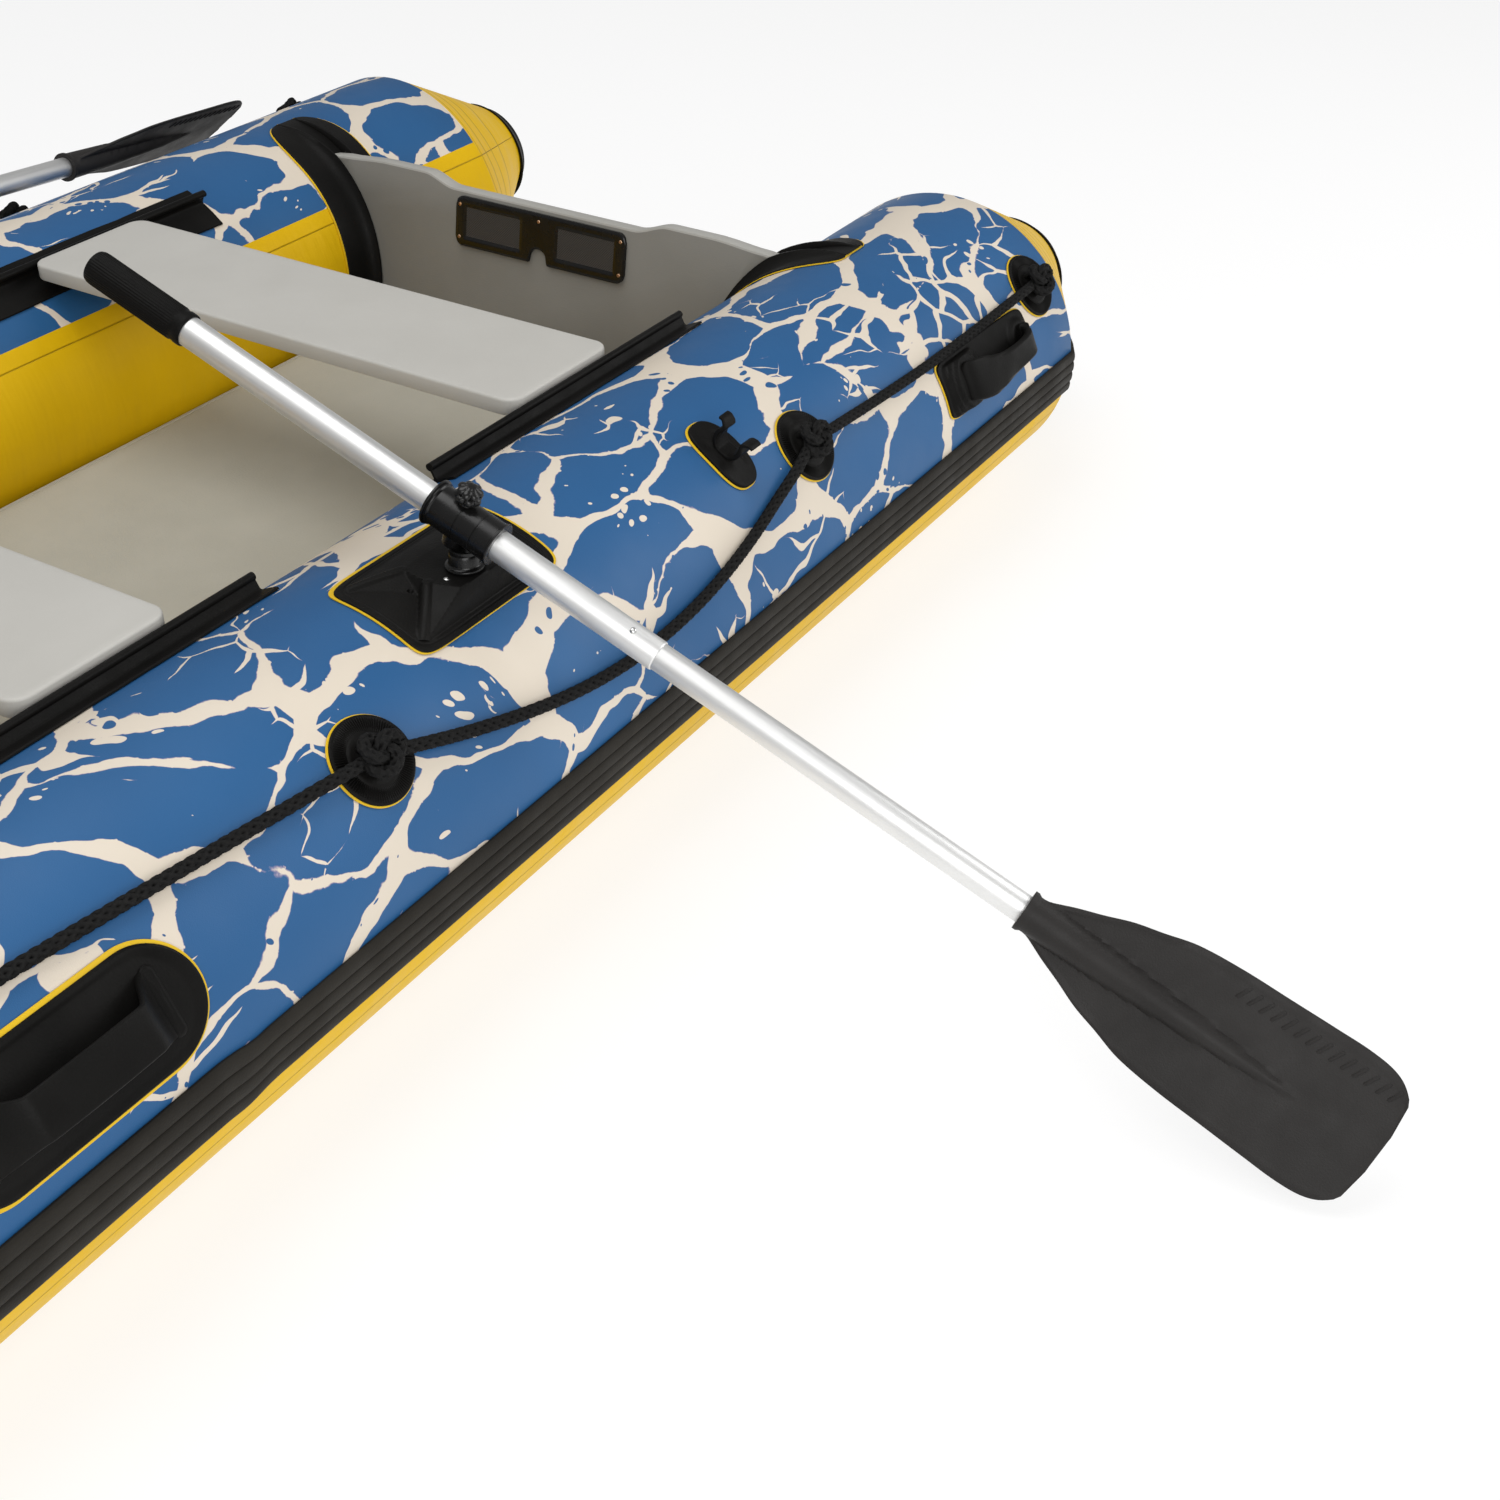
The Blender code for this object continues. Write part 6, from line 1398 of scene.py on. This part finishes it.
def rope_eye(label, side, number, distance, angle):
    """A round pad with a ribbed rim, and a bridge with the rope knotted over it."""
    lift = PATCH_GAP if number < 4 else PATCH_GAP + 0.0015

    def bumps(u, v):
        reach = math.hypot(u, v) / EYE_RADIUS
        ribbed = smooth_step(reach, 0.62, 0.66) * (1.0 - smooth_step(reach, 0.9, 0.93))
        height = 0.00075 * math.sin(95 * math.atan2(v, u)) * ribbed
        for step, low, high in ((0.0015, 0.57, 0.61), (0.004, 0.16, 0.42)):
            height += step * (1.0 - smooth_step(reach, low, high))
        return height

    def section(part):
        return rounded_section(0.0085 + 0.0045 * abs(2 * part - 1), 0.0062, 0.0026)

    outline = oval(EYE_RADIUS, EYE_RADIUS, 2.0, 190)
    shape = edged_pad(outline, 0.0034, 0.0016, (0.0009, -0.0002), 20, bumps, 0.002)
    wrapped(shape, side, distance, angle, lift)
    place = on_tube(side, distance, angle, lift)
    bridge = Shape()
    strap(bridge, arch_path(0.018, 0.026, 0.002, 20), section, across=True)
    shape.take(bridge.moved(lambda p: place @ p))
    knot = []
    for i in range(73):
        turn = 2 * math.pi * i / 72
        reach = 0.0098 + 0.006 * math.cos(3 * turn)
        knot.append(place @ Vector((
            1.45 * reach * math.cos(2 * turn), 1.2 * reach * math.sin(2 * turn),
            0.0212 + 0.005 * math.sin(3 * turn),
        )))
    shape.take(rope_tube(Shape(), smooth_path(knot, 0.0015), 20, kind=2, ends=False))
    name = label + "_rope_eye_" + str(number)
    add(name, shape, [RUBBER, EDGE, ROPE], smooth=40.0)


def rope_point(side, reach, places):
    """One point of the grab line: held high at the eyes, lying lower on the tube between them."""
    angle, near = places[0][1], -1.0
    for (first, a), (second, b), sag in zip(places[:-1], places[1:], ROPE_SAG_ANGLES):
        if first <= reach <= second:
            part = (reach - first) / (second - first)
            angle = a + (b - a) * part - sag * math.sin(math.pi * part)
            near = min(reach - first, second - reach) / EYE_RADIUS - 1.15
    last, a = places[-1]
    if reach > last:
        angle = a + (ROPE_BOW_ANGLE - a) * (reach - last) / (NOSE - last)
        near = (reach - last) / EYE_RADIUS - 1.15
    height = ROPE_HEIGHT + (ROPE_SAG_HEIGHT - ROPE_HEIGHT) * max(0.0, min(1.0, near))
    return tube_point(side, reach, math.radians(angle), RADIUS + height)


def grab_line():
    """The braided rope round the hull, from one stern eye to the other by way of the bow."""
    places = eye_places()
    start, count = places[0][0] - ROPE_END, 90
    reaches = [start + (NOSE - start) * i / count for i in range(count + 1)]
    port, starboard = ([rope_point(side, reach, places) for reach in reaches] for side in (1, -1))
    path = smooth_path(port[:-1] + list(reversed(starboard)), 0.0016)
    add("grab_line", rope_tube(Shape(), path), [ROPE], smooth=60.0)


def side_handle(name, side, distance, angle):
    """A wide moulded strap over a long round-ended pad with a raised border."""
    half_u, half_v, bow_half, height, foot = 0.146, 0.062, 0.1, 0.046, 0.0052

    def bumps(u, v):
        reach = half_v - math.hypot(max(0.0, abs(u) - (half_u - half_v)), v)
        return 0.0018 * (1.0 - smooth_step(reach, 0.012, 0.0136))

    def outline(inset):
        return rounded_ring(half_u, half_v, half_v, inset, 0.0, 24)

    def section(part):
        rise = smooth_step(min(part, 1.0 - part), 0.0, 0.19)
        return rounded_section(0.033 - 0.0145 * rise, 0.0055, 0.0024, 5)

    shape = edged_pad(outline, 0.004, 0.0044, (0.0016, -0.0004), 28, bumps, 0.003)
    path = []
    for step in range(61):
        part = step / 60
        rise = 0.9 * smooth_step(min(part, 1.0 - part), 0.0, 0.21) + 0.1 * math.sin(math.pi * part)
        path.append((bow_half * (2 * part - 1), foot + (height - foot) * rise))
    strap(shape, path, section)
    lip = ((0.0, 0.003), (0.0, 0.0058), (0.0012, 0.0068), (0.003, 0.0072), (0.004, 0.0072))
    for end in (-1, 1):
        middle = (end * (bow_half + 0.0005), 0.0)
        shape.loft([rounded_ring(0.007, 0.0345, 0.006, inset, z, 6, middle) for inset, z in lip])
    wrapped(shape, side, distance, angle)
    add(name, shape, [RUBBER, EDGE], smooth=45.0)


def stern_handle(label, side):
    """A bulky moulded grip on a long pad: stepped rings at its fore foot and ribs along the grip."""
    half_u, half_v, bow_half, height = 0.1325, 0.04, 0.098, 0.04
    halves = (
        (0.0, 0.02), (0.12, 0.025), (0.3, 0.0245), (0.45, 0.0175), (0.62, 0.015), (0.8, 0.0165),
        (0.92, 0.0205), (1.0, 0.02),
    )

    def bumps(u, v):
        away = math.hypot(u + bow_half - 0.018, v * 0.9)
        far = math.hypot(u - bow_half + 0.01, v)
        steps = 0.005 * (1.0 - smooth_step(far, 0.02, 0.032))
        for reach in (0.05, 0.042, 0.034):
            steps += 0.0042 * (1.0 - smooth_step(away, reach - 0.003, reach))
        steps *= smooth_step(half_u - abs(u), 0.005, 0.012)
        return steps * smooth_step(half_v - abs(v), 0.0035, 0.008)

    def outline(inset):
        points = pad_ring(half_u - inset, half_v - inset, 9.0, 168)
        for p in points:
            p.x = p.x * 0.955 - 0.006
            p.y *= 1.0 + (0.12 * (0.5 - p.x / half_u / 2) if p.y > 0.0 else 0.0)
        return points

    def section(part):
        fore = 1.0 - smooth_step(part, 0.1, 0.42)
        aft = smooth_step(part, 0.74, 0.96)
        lean = 0.0075 * (1.0 - fore) * (1.0 - 0.7 * aft)
        thick = 0.0105 + 0.005 * fore + 0.004 * aft
        made = []
        for across, out in rounded_section(smooth_value(halves, part), thick, 0.005, 7):
            rib = 0.0007 * math.cos(across * 2 * math.pi / 0.006) * (1.0 - fore) * (out > -0.004)
            made.append((across - lean, out + rib - 0.0007))
        return made

    shape = edged_pad(outline, 0.004, 0.0016, (0.0006, -0.0004), 44, bumps)
    strap(shape, arch_path(bow_half, height, 0.002, 64, 0.46), section)
    wrapped(shape, side, at_y(STERN_HANDLE_Y), STERN_HANDLE_ANGLE)
    add(label + "_stern_handle", shape, [RUBBER, EDGE], smooth=50.0)


def valve(name, side, y):
    """An air valve's flange and its quarter-turn cap."""
    flange = [
        (0.0, 0.0021), (0.018, 0.0021), (0.018, 0.0035), (0.0262, 0.0035), (0.0285, 0.0031),
        (0.0297, 0.0021), (0.03, 0.001), (0.03, 0.0), (0.02, 0.0), (0.02, -0.03), (0.0, -0.03),
    ]
    place = on_tube(side, at_y(y), VALVE_ANGLE)
    add(name, Shape().turned(flange, 64), [PLASTIC], place=place)
    cap = [
        (0.0, 0.0068), (0.016, 0.0068), (0.0168, 0.008), (0.0205, 0.008), (0.0224, 0.0072),
        (0.0233, 0.0058), (0.0235, 0.004), (0.0235, 0.0), (0.0, 0.0),
    ]

    def flutes(angle, z):
        return 1.0 - 0.012 * (0.5 + 0.5 * math.cos(24 * angle)) * (z < 0.0065)

    shape = Shape().turned(cap, 96, flutes=flutes)
    bar = (
        (0.0182, 0.003, 0.006), (0.0182, 0.003, 0.012), (0.0174, 0.0022, 0.0136),
        (0.016, 0.0022, 0.014),
    )
    shape.loft([pad_ring(half, width, 6.0, 32, z) for half, width, z in bar])
    place = on_tube(side, at_y(y), VALVE_ANGLE, PATCH_GAP + 0.0035 + GAP)
    add(name + "_cap", shape, [PLASTIC], name + "_cap", place)


# The camera and the floor
camera_data = bpy.data.cameras.new("camera")
camera_data.lens = 48.5
camera_data.sensor_width = 36.0
camera_data.clip_end = 100.0
camera = bpy.data.objects.new("camera", camera_data)
camera.location = (1.8136, -1.2853, 1.4656)
camera.rotation_euler = (math.radians(54.8), 0.0, math.radians(31.95))
scene.collection.objects.link(camera)
scene.camera = camera

bow_tube()
rub_strake()
hull_bottom()
air_deck()
transom_board()
inner_pad()
outer_pad()
for name, fore_y in SEAT_YS.items():
    seat(name, fore_y)
grab_line()
side_handle("bow_handle", 1, NOSE, BOW_HANDLE_ANGLE)
for name, side, y in VALVES:
    valve(name, side, y)
for label, side in SIDES.items():
    side_tube(label, side)
    stern_cap(label, side)
    transom_flange(label, side)
    for name, (fore_y, length) in TRACKS.items():
        seat_track(label + name, side, fore_y, length)
    rowlock_base(label, side)
    swivel(label, side)
    oar(label, side)
    oar_clip(label, side)
    for number, (distance, angle) in enumerate(eye_places(), start=1):
        rope_eye(label, side, number, distance, angle)
    side_handle(label + "_side_handle", side, at_y(SIDE_HANDLE_Y), SIDE_HANDLE_ANGLE)
    stern_handle(label, side)

keel_guard = bpy.data.objects["keel_guard"]
keel_guard.data.materials.clear()
keel_guard.data.materials.append(RUBBER)

floor_look = Look("floor_look", (0.26, 0.26, 0.26), 0.9)
floor_look.finish(roughness=floor_look.drift(floor_look.here, 2.0, 3.0, 0.3, 0.7, 0.8, 0.9))
floor_look.shader.inputs["Emission Color"].default_value = (1.0, 1.0, 1.0, 1.0)
floor_look.shader.inputs["Emission Strength"].default_value = 0.74
reach, drop = 14.0, 0.0005
corners = [(-reach, -reach, -drop), (reach, -reach, -drop), (reach, reach, -drop), (-reach, reach, -drop)]
floor_mesh = bpy.data.meshes.new("floor")
floor_mesh.from_pydata(corners, [], [(0, 1, 2, 3)])
floor_mesh.materials.append(floor_look.material)
floor = bpy.data.objects.new("floor", floor_mesh)
scene.collection.objects.link(floor)

world = bpy.data.worlds.new("studio")
world.use_nodes = True
background = world.node_tree.nodes["Background"]
background.inputs["Color"].default_value = (1.0, 1.0, 1.0, 1.0)
background.inputs["Strength"].default_value = 0.32
scene.world = world
for name, place, aim, size, power in (
    ("top_light", (-0.3, -0.2, 4.6), (0.0, 0.0, 0.2), 3.8, 105.0),
    ("front_light", (3.6, -2.9, 2.4), (0.5, -0.2, 0.2), 3.6, 120.0),
    ("side_light", (3.4, 2.8, 2.2), (0.4, 0.4, 0.2), 3.0, 60.0),
):
    lamp = bpy.data.lights.new(name, "AREA")
    lamp.shape = "DISK"
    lamp.size = size
    lamp.energy = power
    light = bpy.data.objects.new(name, lamp)
    light.location = place
    light.rotation_euler = (Vector(aim) - Vector(place)).to_track_quat("-Z", "Y").to_euler()
    scene.collection.objects.link(light)
